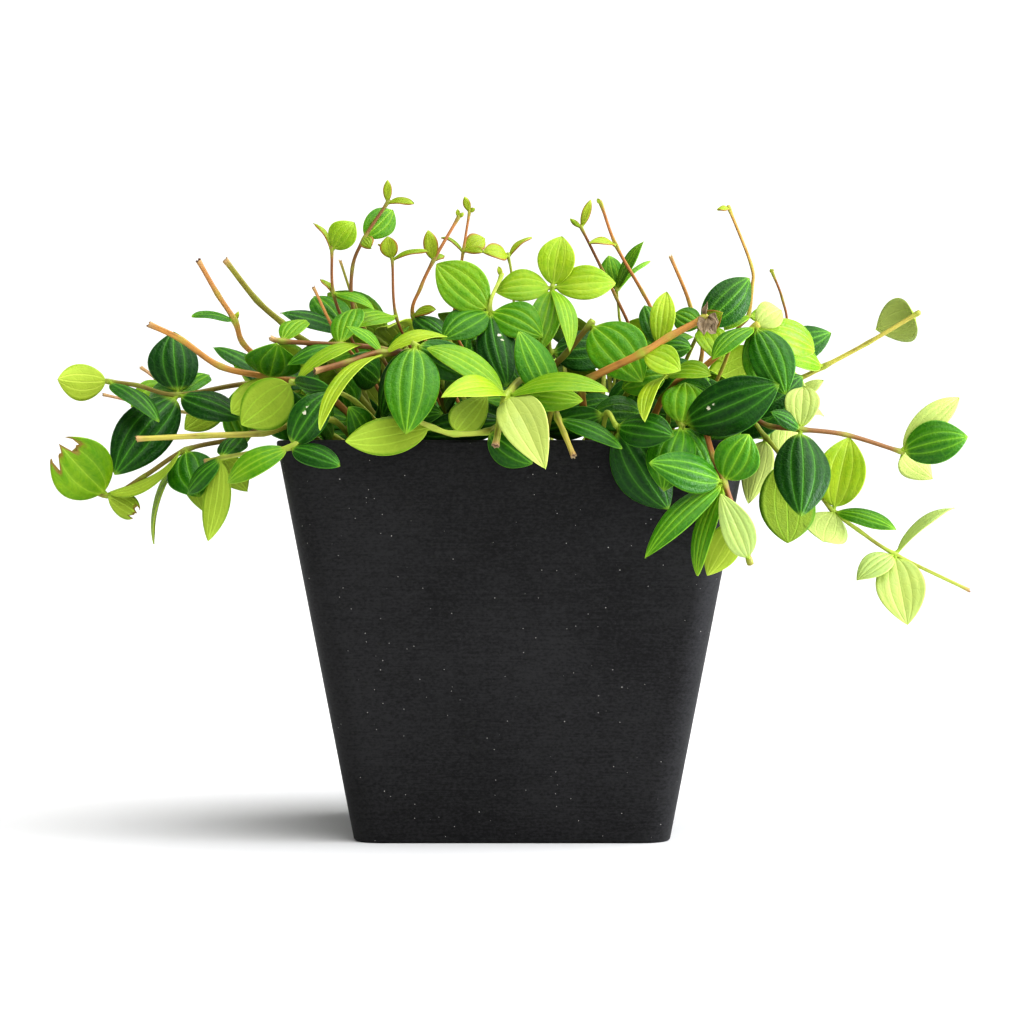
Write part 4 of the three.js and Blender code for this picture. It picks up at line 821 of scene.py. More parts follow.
@dataclass
class Stem:
    """A stem with its root, its stops and the leaves deep down on it."""

    clump: str
    root: Pair
    thickness: float
    bark: Bark
    stops: list[GrownStop]
    deep: list[DeepLeaf] = field(default_factory=list)
    route: StemRoute | None = None
    deep_places: list[Point] = field(default_factory=list)
    blades: list[Blade] = field(default_factory=list)

    def routed(self, lean: Pair) -> StemRoute:
        """Works out the stem's path for a lean of its first and last stop.

        Args:
            lean: How far the first and the last stop lean back.

        Returns:
            The route.
        """
        collar = Point(self.root[0], self.root[1], SOIL.top + SOIL.crown + STEMS.root_rise)
        last = max(len(self.stops) - 1, 1)
        shifts = tuple(lean[0] + ((lean[1] - lean[0]) * index) / last for index in range(len(self.stops)))
        places = tuple(
            grown.place._replace(y=grown.place.y + shift) for grown, shift in zip(self.stops, shifts)
        )
        curve = SmoothPath([collar, *places])
        rings = [Point(self.root[0], self.root[1], SOIL.top - STEMS.root_depth), collar]
        first_steps = 0
        for index, place in enumerate(places):
            start = collar if index == 0 else places[index - 1]
            steps = max(1, nearest(place.minus(start).length() / STEMS.step))
            if index == 0:
                first_steps = steps
            rings += [curve.at(index + step / steps) for step in range(1, steps + 1)]
        if self.stops[-1].leaves:
            rings[-1] = rings[-1].moved(rings[-1].minus(rings[-2]).unit(), STEMS.bud)
        return StemRoute(tuple(rings), places, shifts, first_steps, curve)

    def samples(self, route: StemRoute) -> list[Point]:
        """Points close together along a route, above its foot."""
        found = []
        for start, end in zip(route.rings[1:-1], route.rings[2:]):
            way = end.minus(start)
            steps = math.ceil(way.length() / SPACING.sample_step)
            found += [start.moved(way, step / steps) for step in range(steps)]
        return [*found, route.rings[-1]]

    def stand(self, room: Room) -> None:
        """Leans the stem, back or forth, until it is clear of those that already stand."""
        best: tuple[float, StemRoute, list[Point]] | None = None
        for lean in SPACING.leans():
            route = self.routed(lean)
            samples = self.samples(route)
            count = 0.0
            for sample in samples:
                count += room.conflicts(sample, self.thickness / 2 + SPACING.stem_room, self.clump, None)
                count += 0 if clear_of_pot(sample) else 1
            if best is None or count < best[0]:
                best = (count, route, samples)
            if count == 0:
                break
        for sample in best[2]:
            room.add(sample, self.thickness / 2, self.clump)
        self.route = best[1]

    def grow_leaf(self, room: Room, base: Point, wanted: WantedLeaf) -> None:
        """Turns a leaf aside, and then shrinks it, until it has its elbow room.

        Args:
            room: What is taken up so far.
            base: Where the leaf grows from.
            wanted: The leaf. It isn't grown if it finds no room.
        """
        reach = wanted.tip.minus(base)
        straight = reach.unit()
        for shrink, aside, way in SPACING.tries():
            axis = straight.moved(way, math.tan(aside * DEGREE)).unit()
            blade = Blade.aimed(base, axis, reach.length() * shrink, wanted.width * shrink, wanted)
            samples = blade.samples()
            count = 0.0
            for sample in samples:
                count += room.conflicts(sample, SPACING.elbow_room / 2, self.clump, base)
                count += 0 if clear_of_pot(sample) else 1
                if count >= 1:
                    break
            if count >= 1:
                continue
            for sample in samples:
                room.add(sample, SPACING.elbow_room / 2, self.clump)
            self.blades.append(blade)
            return

    def grow_listed(self, room: Room) -> None:
        """Grows the leaves at the stops."""
        for grown, place, shift in zip(self.stops, self.route.places, self.route.shifts):
            for wanted in grown.leaves:
                tip = wanted.tip._replace(y=wanted.tip.y + shift)
                self.grow_leaf(room, place, replace(wanted, tip=tip))

    def grow_deep(self, room: Room) -> None:
        """Grows the leaves deep in the bush."""
        for leaf in self.deep:
            place = self.route.rings[1 + nearest(leaf.share * self.route.first_steps)]
            self.deep_places.append(place)
            tip = place.moved(leaf.reach, 1)
            self.grow_leaf(room, place, WantedLeaf(tip, leaf.width, leaf.turn, leaf.age, FRONT, True))


class Draws:
    """Repeatable random draws between two values."""

    FACTOR = 16807
    RANGE = 2147483647

    def __init__(self, seed: int) -> None:
        """Starts from a seed."""
        self.state = seed

    def between(self, limits: Pair) -> float:
        """The next draw."""
        self.state = (self.state * self.FACTOR) % self.RANGE
        return limits[0] + ((limits[1] - limits[0]) * self.state) / self.RANGE


def direction(heading: float, climb: float) -> Point:
    """A direction from its heading, 0 to the right and 90 to the back, and its climb above level."""
    turn, tilt = heading * DEGREE, climb * DEGREE
    return Point(math.cos(tilt) * math.cos(turn), math.cos(tilt) * math.sin(turn), math.sin(tilt))


@dataclass(frozen=True)
class FrontLayout:
    """How the stems that are laid out from the front are placed in space."""

    eye_distance: float = 930
    eye_height: float = 100
    deep_places: tuple[tuple[float, Pair], ...] = ((1, (-15, 45)), (0.45, (-8, 20)))
    deep_asides: Pair = (-65, 65)
    deep_lengths: Pair = (19, 25)
    deep_widths: Pair = (12, 16)
    deep_turns: Pair = (0, 60)
    deep_ages: Pair = (0.6, 1)
    deep_middle: float = 12
    deep_seed: int = 41

    def seen(self, across: float, up: float, back: float) -> Point:
        """The point that lines up with a place at the pot's mid-plane, at its own depth."""
        share = (self.eye_distance + back) / self.eye_distance
        return Point(across * share, back, self.eye_height + (up - self.eye_height) * share)

    def grown(self, mark: Stop) -> GrownStop:
        """A stop in space."""
        leaves = []
        for leaf in mark.leaves:
            tip = self.seen(leaf.across, leaf.up, leaf.back)
            leaves.append(WantedLeaf(tip, leaf.width, leaf.turn, leaf.age, FRONT, False, leaf.wear_and_backlight))
        return GrownStop(self.seen(mark.across, mark.up, mark.back), tuple(leaves))

    def stems(self) -> list[Stem]:
        """The stems, each a clump of its own."""
        draws = Draws(self.deep_seed)
        made = []
        for number, plan in enumerate(FRONT_STEMS):
            outwards = math.atan2(plan.root[1] - self.deep_middle, plan.root[0]) / DEGREE
            deep = []
            for share, climbs in self.deep_places[number % 2:]:
                aside = draws.between(self.deep_asides)
                way = direction(outwards + aside, draws.between(climbs))
                reach = way.times(draws.between(self.deep_lengths))
                width = draws.between(self.deep_widths)
                turn = draws.between(self.deep_turns)
                deep.append(DeepLeaf(share, reach, width, turn, draws.between(self.deep_ages)))
            stops = [self.grown(mark) for mark in plan.stops]
            made.append(Stem(plan.name, plan.root, plan.thickness, plan.bark, stops, deep))
        return made


@dataclass(frozen=True)
class BackLayout:
    """The clumps behind, of two stems each that share a root.

    Headings run from the right, over the back, to the left. Every second clump is rooted farther out and
    reaches less far. A whorl lists how far out along the stem each leaf grows, and how far aside it points.
    """

    clumps: int = 10
    headings: Pair = (18, 162)
    root: float = 30
    root_stagger: float = 12
    deepest: float = 52
    thickness: float = 1.8
    half_spread: float = 70
    reaches: Pair = (102, 84)
    crest_share: float = 0.3
    crests: Pair = (132, 146)
    sinks: Pair = (0, 8)
    hanging_reach: float = 90
    hanging_sinks: Pair = (16, 48)
    inner_turn: float = 24
    inner_reach: float = 44
    inner_crests: Pair = (142, 150)
    inner_ends: Pair = (144, 154)
    bare_stop: float = 0.35
    whorl: tuple[Pair, ...] = (
        (0.42, -80), (0.42, 75), (0.62, -70), (0.62, 80), (0.82, -62), (0.82, 66), (1, 0),
    )
    inner_whorl: tuple[Pair, ...] = ((0.62, -80), (0.62, 95), (1, -70), (1, 60))
    asides: Pair = (-14, 14)
    climbs: Pair = (-30, 28)
    lengths: Pair = (21, 27)
    widths: Pair = (12.5, 17)
    turns: Pair = (15, 70)
    ages: Pair = (0, 1)
    seed: int = 7

    def stem(
        self, clump: str, heading: float, root: Pair, reach: float, heights: Pair, whorl: tuple[Pair, ...],
        draws: Draws,
    ) -> Stem:
        """One stem of a clump, which climbs to its crest and then sinks to its end.

        Args:
            clump: The clump's name.
            heading: Which way it grows.
            root: Where it stands in the soil.
            reach: How far out it reaches.
            heights: The heights of its crest and its end.
            whorl: Its leaves.
            draws: The random draws.

        Returns:
            The stem.
        """
        outwards = direction(heading, 0)
        crest, end = heights

        def at(share: float) -> Point:
            """The place at a share of the way out."""
            climb = min(1, share / self.crest_share)
            fall = max(0, share * 2 - 1)
            height = SOIL.top + STEMS.root_rise + (crest - SOIL.top) * climb + (end - crest) * fall * fall
            x = root[0] + (outwards.x * reach - root[0]) * share
            return Point(x, root[1] + (outwards.y * reach - root[1]) * share, height)

        stops = [GrownStop(at(self.bare_stop), ())]
        for share in dict.fromkeys(where for where, _ in whorl):
            leaves = []
            for aside in (each for where, each in whorl if where == share):
                turned = draws.between(self.asides)
                away = direction(heading + aside + turned, draws.between(self.climbs))
                tip = at(share).moved(away, draws.between(self.lengths))
                width = draws.between(self.widths)
                turn = draws.between(self.turns)
                leaves.append(WantedLeaf(tip, width, turn, draws.between(self.ages), outwards, True))
            stops.append(GrownStop(at(share), tuple(leaves)))
        return Stem(clump, root, self.thickness, Bark.LEAFY, stops)

    def stems(self) -> list[Stem]:
        """All the stems behind."""
        draws = Draws(self.seed)
        made = []
        first, last = self.headings
        for index in range(self.clumps):
            heading = first + ((last - first) * index) / (self.clumps - 1)
            spread = self.half_spread / abs(math.cos(heading * DEGREE))
            reach = min(self.reaches[index % 2], spread)
            foot = direction(heading, 0).times(self.root + (index % 2) * self.root_stagger)
            root = (foot.x, min(foot.y, self.deepest))
            name = f"behind_{index + 1}"
            crest = draws.between(self.crests)
            end = crest - draws.between(self.hanging_sinks if reach > self.hanging_reach else self.sinks)
            made.append(self.stem(name, heading, root, reach, (crest, end), self.whorl, draws))
            inner = (draws.between(self.inner_crests), draws.between(self.inner_ends))
            turned = heading + self.inner_turn
            made.append(self.stem(name, turned, root, self.inner_reach, inner, self.inner_whorl, draws))
        return made


def grow_plant() -> list[Stem]:
    """Lays out every stem and leaf of the plant.

    Returns:
        The stems, with their routes and blades.
    """
    stems = [*FrontLayout().stems(), *BackLayout().stems()]
    room = Room()
    for stem in stems:
        stem.stand(room)
    for stem in stems:
        stem.grow_listed(room)
    for stem in stems:
        stem.grow_deep(room)
    return stems


@dataclass(frozen=True)
class Spot:
    """One point of a skin and what the finishes read there.

    Attributes:
        place: Where it is.
        blade: On a leaf, across from -1 to 1, along from 0 to 1, and half the blade's width there.
        grain: On a leaf, millimetres across and along it. On a stem, a place round it and millimetres along
            it. Last comes a number of the leaf's or stem's own.
        look: On a leaf, its age, 1 on its upper face or 0 on its lower, and its mark.
        bark: On a stem, its colour.
    """

    place: Point
    blade: Triple = (0, 0, 0)
    grain: Triple = (0, 0, 0)
    look: Triple = (0, 0, 0)
    bark: Colour = (0, 0, 0, 1)


class Skin:
    """A mesh that grows tube by tube, with the attributes that the plant's finishes read."""

    def __init__(self) -> None:
        """Starts an empty mesh."""
        self.mesh = bmesh.new()
        layers = self.mesh.verts.layers
        self.blade = layers.float_vector.new("blade")
        self.grain = layers.float_vector.new("grain")
        self.look = layers.float_vector.new("look")
        self.bark = layers.float_color.new("bark")

    def tube(self, rings: list[list[Spot]], cover: "Cover") -> None:
        """Adds a closed tube.

        Args:
            rings: Its rings of spots. The first and the last have all their spots at one place.
            cover: Which material it has.
        """
        around, spans = len(rings[0]), len(rings) - 1
        made = bmesh.ops.create_grid(self.mesh, x_segments=around, y_segments=spans, size=0.5)["verts"]
        faces = {face for vert in made for face in vert.link_faces}
        for face in faces:
            face.material_index = cover.value
            face.smooth = True
        for vert in made:
            column = round((vert.co.x + 0.5) * around) % around
            spot = rings[round((vert.co.y + 0.5) * spans)][column]
            vert.co = Vector(spot.place) * MM
            vert[self.blade] = spot.blade
            vert[self.grain] = spot.grain
            vert[self.look] = spot.look
            vert[self.bark] = spot.bark
        bmesh.ops.remove_doubles(self.mesh, verts=made, dist=WELD)

    def finished(self, name: str, finishes: list[bpy.types.Material]) -> bpy.types.Object:
        """Makes the mesh an object.

        Args:
            name: The object's name.
            finishes: Its materials.

        Returns:
            The object.
        """
        bmesh.ops.recalc_face_normals(self.mesh, faces=self.mesh.faces)
        return modelled(name, self.mesh, *finishes)


class Cover(Enum):
    """The foliage's two materials, by their place in a piece's list."""

    LEAF = 0
    STEM = 1


class Mark(Enum):
    """What a leaf's finish reads as its mark. From 0 to 1 the leaf nears its bitten end."""

    SPROUT = -1
    NONE = 0
    SCARRED = 2
    # This mark gives a painted glow: a whitish paleness that stands for light shining through the leaf.
    BACKLIT = 3


@dataclass(frozen=True)
class LeafSkin:
    """Dresses a blade: a round petiole that widens into a thin blade, puffed up between its sunk veins.

    Sizes are in millimetres. Veins and columns are places across the blade, from 0 at its middle to 1 at its
    edge. A run is how many times over a change fits in the blade's length. Each bite has its depth, how fast
    it comes back across the blade, and where it starts. Waves are how fast the blade's edge waves along it,
    and how far apart two leaves' waves start.
    """

    fine_top: tuple[float, ...] = (0.96, 0.88, 0.76, 0.68, 0.59, 0.5, 0.42, 0.33, 0.22, 0.1)
    fine_under: tuple[float, ...] = (0.82, 0.6, 0.42, 0.2)
    fine_along: int = 24
    plain_top: tuple[float, ...] = (0.92, 0.76, 0.6, 0.42, 0.22)
    plain_under: tuple[float, ...] = (0.7, 0.35)
    plain_along: int = 14
    petiole_rings: int = 4
    petiole_half: float = 0.5
    petiole_spread: float = 0.02
    petiole_shown: float = 0.5
    petiole_run: float = 4
    thickness: float = 0.42
    edge_run: float = 8
    slimness: float = 0.96
    skew: float = 0.92
    bluntness: float = 0.57
    tip_sharpness: float = 0.22
    lopsided: float = 0.09
    lopsided_pace: float = 1.7
    fold_softness: float = 0.14
    fold_run: float = 8
    veins: tuple[float, ...] = (0, 0.42, 0.76, 1)
    puff: float = 0.15
    young_puff: float = 0.07
    puffed_age: float = 0.5
    puff_bluntness: float = 0.55
    wave: float = 0.42
    waves: Pair = (7, 2.4)
    crumple: float = 1.4
    crumple_pace: float = 0.35
    crumple_run: float = 6
    crumple_seed: int = 3
    grain_pace: float = 31.7
    bitten_length: float = 0.8
    bites: tuple[Triple, ...] = ((0.09, 6, 1), (0.05, 14, 2))
    sprout_half: float = 4
    sprout_length: float = 10.5
    sprout_age: float = 0.65

    def outline(self, share: float) -> float:
        """How full the blade is, from its round base to its tip."""
        curve = max(0.0, math.sin(math.pi * share ** self.skew))
        return curve ** (self.bluntness + self.tip_sharpness * share ** 2)

    def reached(self, across: float) -> float:
        """How far along a bitten leaf its blade still reaches, from 0 to 1."""
        return self.bitten_length + sum(
            depth * math.sin(across * pace + start) for depth, pace, start in self.bites
        )

    def puffed(self, width: float, half: float, age: float) -> float:
        """How far the blade bulges between two veins."""
        puff = self.young_puff + (self.puff - self.young_puff) * min(1, age / self.puffed_age)
        for inner, outer in zip(self.veins, self.veins[1:]):
            if width <= outer:
                share = (width - inner) / (outer - inner)
                return puff * (outer - inner) * half * (4 * share * (1 - share)) ** self.puff_bluntness
        return 0.0

    def mark(self, blade: Blade, along: float) -> float:
        """The leaf's mark, at a place from 0 to 1 along it."""
        if blade.wear_and_backlight is WearAndBacklight.SCARRED:
            return Mark.SCARRED.value
        # A leaf with a painted glow of light shining through it carries its own mark.
        if blade.wear_and_backlight is WearAndBacklight.BACKLIT:
            return Mark.BACKLIT.value
        if blade.wear_and_backlight is WearAndBacklight.BITTEN:
            return max(0, along)
        small = blade.half < self.sprout_half and blade.length < self.sprout_length
        return (Mark.SPROUT if small and blade.age < self.sprout_age else Mark.NONE).value

    def columns(self, plain: bool) -> list[tuple[float, int]]:
        """The spots round a leaf: how far across each lies, and 1 on the upper face or -1 on the lower."""
        top, under = (self.plain_top, self.plain_under) if plain else (self.fine_top, self.fine_under)
        upper = [1, *top, 0, *(-each for each in reversed(top)), -1]
        lower = [*(-each for each in under), 0, *reversed(under)]
        return [(across, 1) for across in upper] + [(across, -1) for across in lower]

    def ring(self, blade: Blade, along: float, number: int) -> list[Spot]:
        """One ring round a leaf.

        Args:
            blade: The leaf.
            along: From 0 to 1 along the blade, or below 0 on the petiole.
            number: The leaf's own number.

        Returns:
            The ring's spots.
        """
        eaten = blade.wear_and_backlight is WearAndBacklight.BITTEN
        bare = blade.petiole * self.petiole_shown
        length = blade.length + blade.petiole - bare
        spots = []
        for across, face in self.columns(blade.plain):
            share = max(along, 0) * (self.reached(across) if eaten else 1)
            middle = math.sin(math.pi * share)
            stalk = self.petiole_half + self.petiole_spread * blade.half
            stalk *= max(0.0, 1 - share * self.petiole_run) ** 2
            half = 0 if share >= 1 else math.hypot(blade.half * self.slimness * self.outline(share), stalk)
            thick = self.thickness * min(1, (1 - max(along, 0)) * self.edge_run)
            distance = bare + length * share if along >= 0 else bare * (1 + along)
            bend = self.lopsided * blade.half * middle * math.sin(number * self.lopsided_pace)
            width = abs(across)
            soft = math.hypot(across, self.fold_softness) - self.fold_softness
            phase = self.waves[0] * share + number * self.waves[1] + across
            rise = BLADES.arched(blade.length, share)
            rise += blade.fold * soft * half * min(1, share * self.fold_run)
            rise += self.puffed(width, half, blade.age) * math.sqrt(max(0, middle))
            rise += self.wave * width ** 2 * math.sin(phase) * share
            rise += face * min(max(stalk, thick), half) * math.sqrt(1 - width ** 2)
            place = blade.base.moved(blade.axis, distance).moved(blade.side, bend + across * half)
            place = place.moved(blade.normal, rise)
            if blade.age > 1:
                way = Point(*noise.noise_vector(Vector(place) * self.crumple_pace))
                place = place.moved(way, self.crumple * min(1, share * self.crumple_run))
            spots.append(Spot(
                place,
                blade=(across, along, half),
                grain=(across * half, along * blade.length, number * self.grain_pace),
                look=(blade.age, max(face, 0), self.mark(blade, along)),
            ))
        return spots

    def dress(self, skin: Skin, blade: Blade, number: int) -> None:
        """Adds a leaf to a skin.

        Args:
            skin: The skin.
            blade: The leaf.
            number: The leaf's own number.
        """
        steps = self.plain_along if blade.plain else self.fine_along
        stations = [-1 + step / self.petiole_rings for step in range(self.petiole_rings)]
        stations += [(1 - math.cos(math.pi * step / steps)) / 2 for step in range(steps + 1)]
        rings = [self.ring(blade, along, number) for along in stations]
        first = rings[0][0]
        pole = Spot(blade.base, first.blade, first.grain, first.look)
        skin.tube([[pole] * len(rings[0]), *rings], Cover.LEAF)


@dataclass(frozen=True)
class StemSkin:
    """Dresses a stem: soft ridges, swollen nodes and a cut or budding end, in millimetres.

    Shares are of the stem's radius at its end, and a pace is how far apart two stems' draws lie.
    """

    around: int = 16
    step: float = 1.6
    ridges: int = 4
    ridge: float = 0.1
    node_swelling: float = 0.42
    node_reach: float = 1.7
    node_tint: float = 0.75
    bare_swelling: float = 0.16
    bare_tint: float = 0.4
    end_flare: float = 0.22
    end_reach: float = 1.5
    end_sunk: float = 0.5
    rind_share: float = 0.7
    core_share: float = 0.35
    bud_share: float = 0.5
    fray: float = 0.55
    fray_pace: float = 0.7
    lip_pace: float = 1.3
    grain_pace: float = 17.3
    node_tone: Colour = linear(150, 176, 60)
    end_tone: Colour = linear(196, 160, 108)
    lip_dark: Colour = linear(92, 54, 38)
    lip_pale: Colour = linear(226, 206, 160)
    core_tone: Colour = linear(190, 156, 112)

    def line(self, stem: Stem) -> list[Point]:
        """Points close together along the whole stem, from its foot to its end."""
        foot, collar = stem.route.rings[:2]
        points = [foot, foot.moved(collar.minus(foot), 0.5), collar]
        before = collar
        for index, place in enumerate(stem.route.places):
            steps = max(2, math.ceil(place.minus(before).length() / self.step))
            points += [stem.route.curve.at(index + step / steps) for step in range(1, steps + 1)]
            before = place
        if stem.stops[-1].leaves:
            points.append(stem.route.rings[-1])
        return points

    def dress(self, skin: Skin, stem: Stem, number: int) -> None:
        """Adds a stem to a skin.

        Args:
            skin: The skin.
            stem: The stem.
            number: The stem's own number.
        """
        points = self.line(stem)
        cut = not stem.stops[-1].leaves
        nodes = [place for grown, place in zip(stem.stops, stem.route.places) if grown.leaves]
        nodes += stem.deep_places
        bare = [place for grown, place in zip(stem.stops[:-1], stem.route.places) if not grown.leaves]
        side = Point(math.sqrt(0.5), math.sqrt(0.5), 0)
        length = 0.0
        rings = []
        for index, place in enumerate(points):
            before, after = points[max(index - 1, 0)], points[min(index + 1, len(points) - 1)]
            along = after.minus(before).unit()
            side = side.flattened(along).unit()
            length += place.minus(before).length()
            share = index / (len(points) - 1)
            node = max((bell(place.minus(each).length(), self.node_reach) for each in nodes), default=0)
            knot = max((bell(place.minus(each).length(), self.node_reach) for each in bare), default=0)
            end = bell(place.minus(points[-1]).length(), self.end_reach) if cut else 0
            radius = stem.thickness / 2 * (1 - (1 - STEMS.tip_share) * share)
            radius *= 1 + self.node_swelling * node + self.bare_swelling * knot + self.end_flare * end
            tone = blended(stem.bark.value.low, stem.bark.value.high, share)
            tone = blended(tone, self.node_tone, min(1, self.node_tint * node + self.bare_tint * knot))
            tone = blended(tone, self.end_tone, end)
            rings.append(self.ring(place, side, along.cross(side), radius, length, tone, number))
        start = self.ring(points[0], side, side, 0, 0, stem.bark.value.low, number)
        last = points[-1]
        along = last.minus(points[-2]).unit()
        up = along.cross(side)
        radius = stem.thickness / 2 * STEMS.tip_share
        if cut:
            sunk, lip_place = last.moved(along, -self.end_sunk), last.moved(along, self.fray / 2)
            flared = radius * (1 + self.end_flare)
            lip_tone = blended(self.lip_dark, self.lip_pale, 0.5 + 0.5 * math.sin(number * self.lip_pace))
            lip = self.ring(lip_place, side, up, flared, length, lip_tone, number, self.fray)
            rind = self.ring(sunk, side, up, radius * self.rind_share, length, self.lip_dark, number)
            core = self.ring(sunk, side, up, radius * self.core_share, length, self.core_tone, number)
            pole = self.ring(sunk, side, up, 0, length, self.core_tone, number)
            skin.tube([start, *rings, lip, rind, core, pole], Cover.STEM)
        else:
            bud = last.moved(along, radius * self.bud_share)
            pole = self.ring(bud, side, up, 0, length, self.node_tone, number)
            skin.tube([start, *rings, pole], Cover.STEM)

    def ring(
        self, place: Point, side: Point, up: Point, radius: float, length: float, tone: Colour, number: int,
        fray: float = 0,
    ) -> list[Spot]:
        """One ring round a stem.

        Args:
            place: Its middle.
            side: Which way its first spot lies.
            up: Which way the spot a quarter round lies.
            radius: Its radius.
            length: How far up the stem it is.
            tone: Its colour.
            number: The stem's own number.
            fray: How far the spots stray along the stem.

        Returns:
            The ring's spots.
        """
        along = side.cross(up)
        spots = []
        for column in range(self.around):
            angle = 2 * math.pi * column / self.around
            reach = radius * (1 + self.ridge * math.cos(self.ridges * angle))
            stray = fray * math.sin(angle * 3 + number) * math.sin(angle * 2 + number * self.fray_pace)
            where = place.moved(side, reach * math.cos(angle)).moved(up, reach * math.sin(angle))
            grain = (math.cos(angle), length, number * self.grain_pace)
            spots.append(Spot(where.moved(along, stray), grain=grain, bark=tone))
        return spots


@dataclass(frozen=True)
class Clouds:
    """A soft noise's scale, detail and roughness."""

    scale: float
    detail: float = 3
    rough: float = 0.5


def fill(ramp: bpy.types.ColorRamp, stops: Ramp) -> None:
    """Gives a new colour ramp its stops of place and colour."""
    while len(ramp.elements) < len(stops):
        ramp.elements.new(1)
    for element, (place, color) in zip(ramp.elements, stops):
        element.position = place
        element.color = color


class Desk:
    """A material's node tree, and short ways to fill it."""

    def __init__(self, name: str) -> None:
        """Starts a material with its surface shader and output."""
        self.material = bpy.data.materials.new(name)
        self.material.use_nodes = True
        self.tree = self.material.node_tree
        self.tree.nodes.clear()
        self.surface = self.add("ShaderNodeBsdfPrincipled")
        output = self.add("ShaderNodeOutputMaterial")
        self.tree.links.new(self.surface.outputs["BSDF"], output.inputs["Surface"])

    def add(self, kind: str, **settings: object) -> bpy.types.Node:
        """A new node with its settings."""
        node = self.tree.nodes.new(kind)
        for name, value in settings.items():
            setattr(node, name, value)
        return node

    def join(self, source: object, target: Socket) -> None:
        """Links a socket to another, or sets a plain value on it."""
        if isinstance(source, Socket):
            self.tree.links.new(source, target)
        else:
            target.default_value = source

    def attribute(self, name: str) -> bpy.types.Node:
        """An attribute of the mesh."""
        return self.add("ShaderNodeAttribute", attribute_name=name)

    def parts(self, vector: Socket) -> list[Socket]:
        """A vector's three values."""
        node = self.add("ShaderNodeSeparateXYZ")
        self.join(vector, node.inputs[0])
        return list(node.outputs)

    def math(self, operation: str, *values: object, clamp: bool = False) -> Socket:
        """What a Math node makes of one to three values."""
        node = self.add("ShaderNodeMath", operation=operation, use_clamp=clamp)
        for value, socket in zip(values, node.inputs):
            self.join(value, socket)
        return node.outputs[0]

    def times(self, first: object, second: object) -> Socket:
        """The product of two values."""
        return self.math("MULTIPLY", first, second)

    def plus(self, first: object, second: object) -> Socket:
        """The sum of two values."""
        return self.math("ADD", first, second)

    def minus(self, first: object, second: object) -> Socket:
        """The first value less the second."""
        return self.math("SUBTRACT", first, second)

    def greatest(self, values: list[Socket]) -> Socket:
        """The greatest of several values."""
        return reduce(lambda first, second: self.math("MAXIMUM", first, second), values)

    def smooth(self, value: object, low: float, high: float) -> Socket:
        """A smooth step from 0 at one value to 1 at another."""
        node = self.add("ShaderNodeMapRange", interpolation_type="SMOOTHSTEP")
        self.join(value, node.inputs["Value"])
        node.inputs["From Min"].default_value = low
        node.inputs["From Max"].default_value = high
        return node.outputs["Result"]

    def mix(self, share: object, first: object, second: object) -> Socket:
        """A mix of two colours."""
        node = self.add("ShaderNodeMix", data_type="RGBA")
        self.join(share, node.inputs["Factor"])
        self.join(first, node.inputs[6])
        self.join(second, node.inputs[7])
        return node.outputs[2]

    def ramp(self, value: object, stops: Ramp) -> Socket:
        """A colour ramp through stops of place and colour."""
        node = self.add("ShaderNodeValToRGB")
        fill(node.color_ramp, stops)
        self.join(value, node.inputs["Fac"])
        return node.outputs["Color"]

    def noise(self, vector: object, clouds: Clouds) -> Socket:
        """Soft noise from 0 to 1."""
        node = self.add("ShaderNodeTexNoise")
        self.join(vector, node.inputs["Vector"])
        node.inputs["Scale"].default_value = clouds.scale
        node.inputs["Detail"].default_value = clouds.detail
        node.inputs["Roughness"].default_value = clouds.rough
        return node.outputs["Fac"]

    def drift(self, vector: object, clouds: Clouds, depth: float) -> Socket:
        """Soft noise to both sides of 0."""
        return self.times(self.minus(self.noise(vector, clouds), 0.5), depth)

    def stretched(self, vector: object, scale: Triple) -> Socket:
        """A vector scaled along its axes."""
        node = self.add("ShaderNodeMapping")
        self.join(vector, node.inputs["Vector"])
        node.inputs["Scale"].default_value = scale
        return node.outputs["Vector"]

    def place(self) -> Socket:
        """A point's place on the object, in metres."""
        return self.add("ShaderNodeTexCoord").outputs["Object"]

    def bump(self, height: object, distance: float) -> None:
        """Sets the surface's bump."""
        node = self.add("ShaderNodeBump")
        node.inputs["Distance"].default_value = distance
        node.inputs["Strength"].default_value = 1
        self.join(height, node.inputs["Height"])
        self.join(node.outputs["Normal"], self.surface.inputs["Normal"])

    def set(self, socket: str, value: object) -> None:
        """Sets or links one of the surface's sockets."""
        self.join(value, self.surface.inputs[socket])


@dataclass(frozen=True)
class VeinLook:
    """A vein, or a pair of them: its place across the blade from 0 to 1, and how strongly it shows."""

    place: float
    strength: float


class LeafDesk(Desk):
    """The leaf material's desk, with what the leaf's skin carries at a point, as sockets.

    Attributes:
        width: How far across the blade the point lies, from 0 to 1.
        along: How far along the blade it lies, from 0 to 1.
        half: Half the blade's width there.
        grain: Its place on the blade, with the leaf's own number.
        age: The leaf's age.
        upper: 1 on the upper face.
        mark: The leaf's mark.
        sprout: 1 on a sprout, and otherwise 0.
        grown: 0 on a sprout, and otherwise 1.
    """

    def __init__(self, name: str, sprout_mark: Pair) -> None:
        """Starts the material and reads the skin.

        Args:
            name: The material's name.
            sprout_mark: The marks of a grown leaf and of a sprout.
        """
        super().__init__(name)
        across, self.along, self.half = self.parts(self.attribute("blade").outputs["Vector"])
        self.width = self.math("ABSOLUTE", across)
        self.grain = self.attribute("grain").outputs["Vector"]
        self.age, self.upper, self.mark = self.parts(self.attribute("look").outputs["Vector"])
        self.sprout = self.smooth(self.mark, *sprout_mark)
        self.grown = self.minus(1, self.sprout)


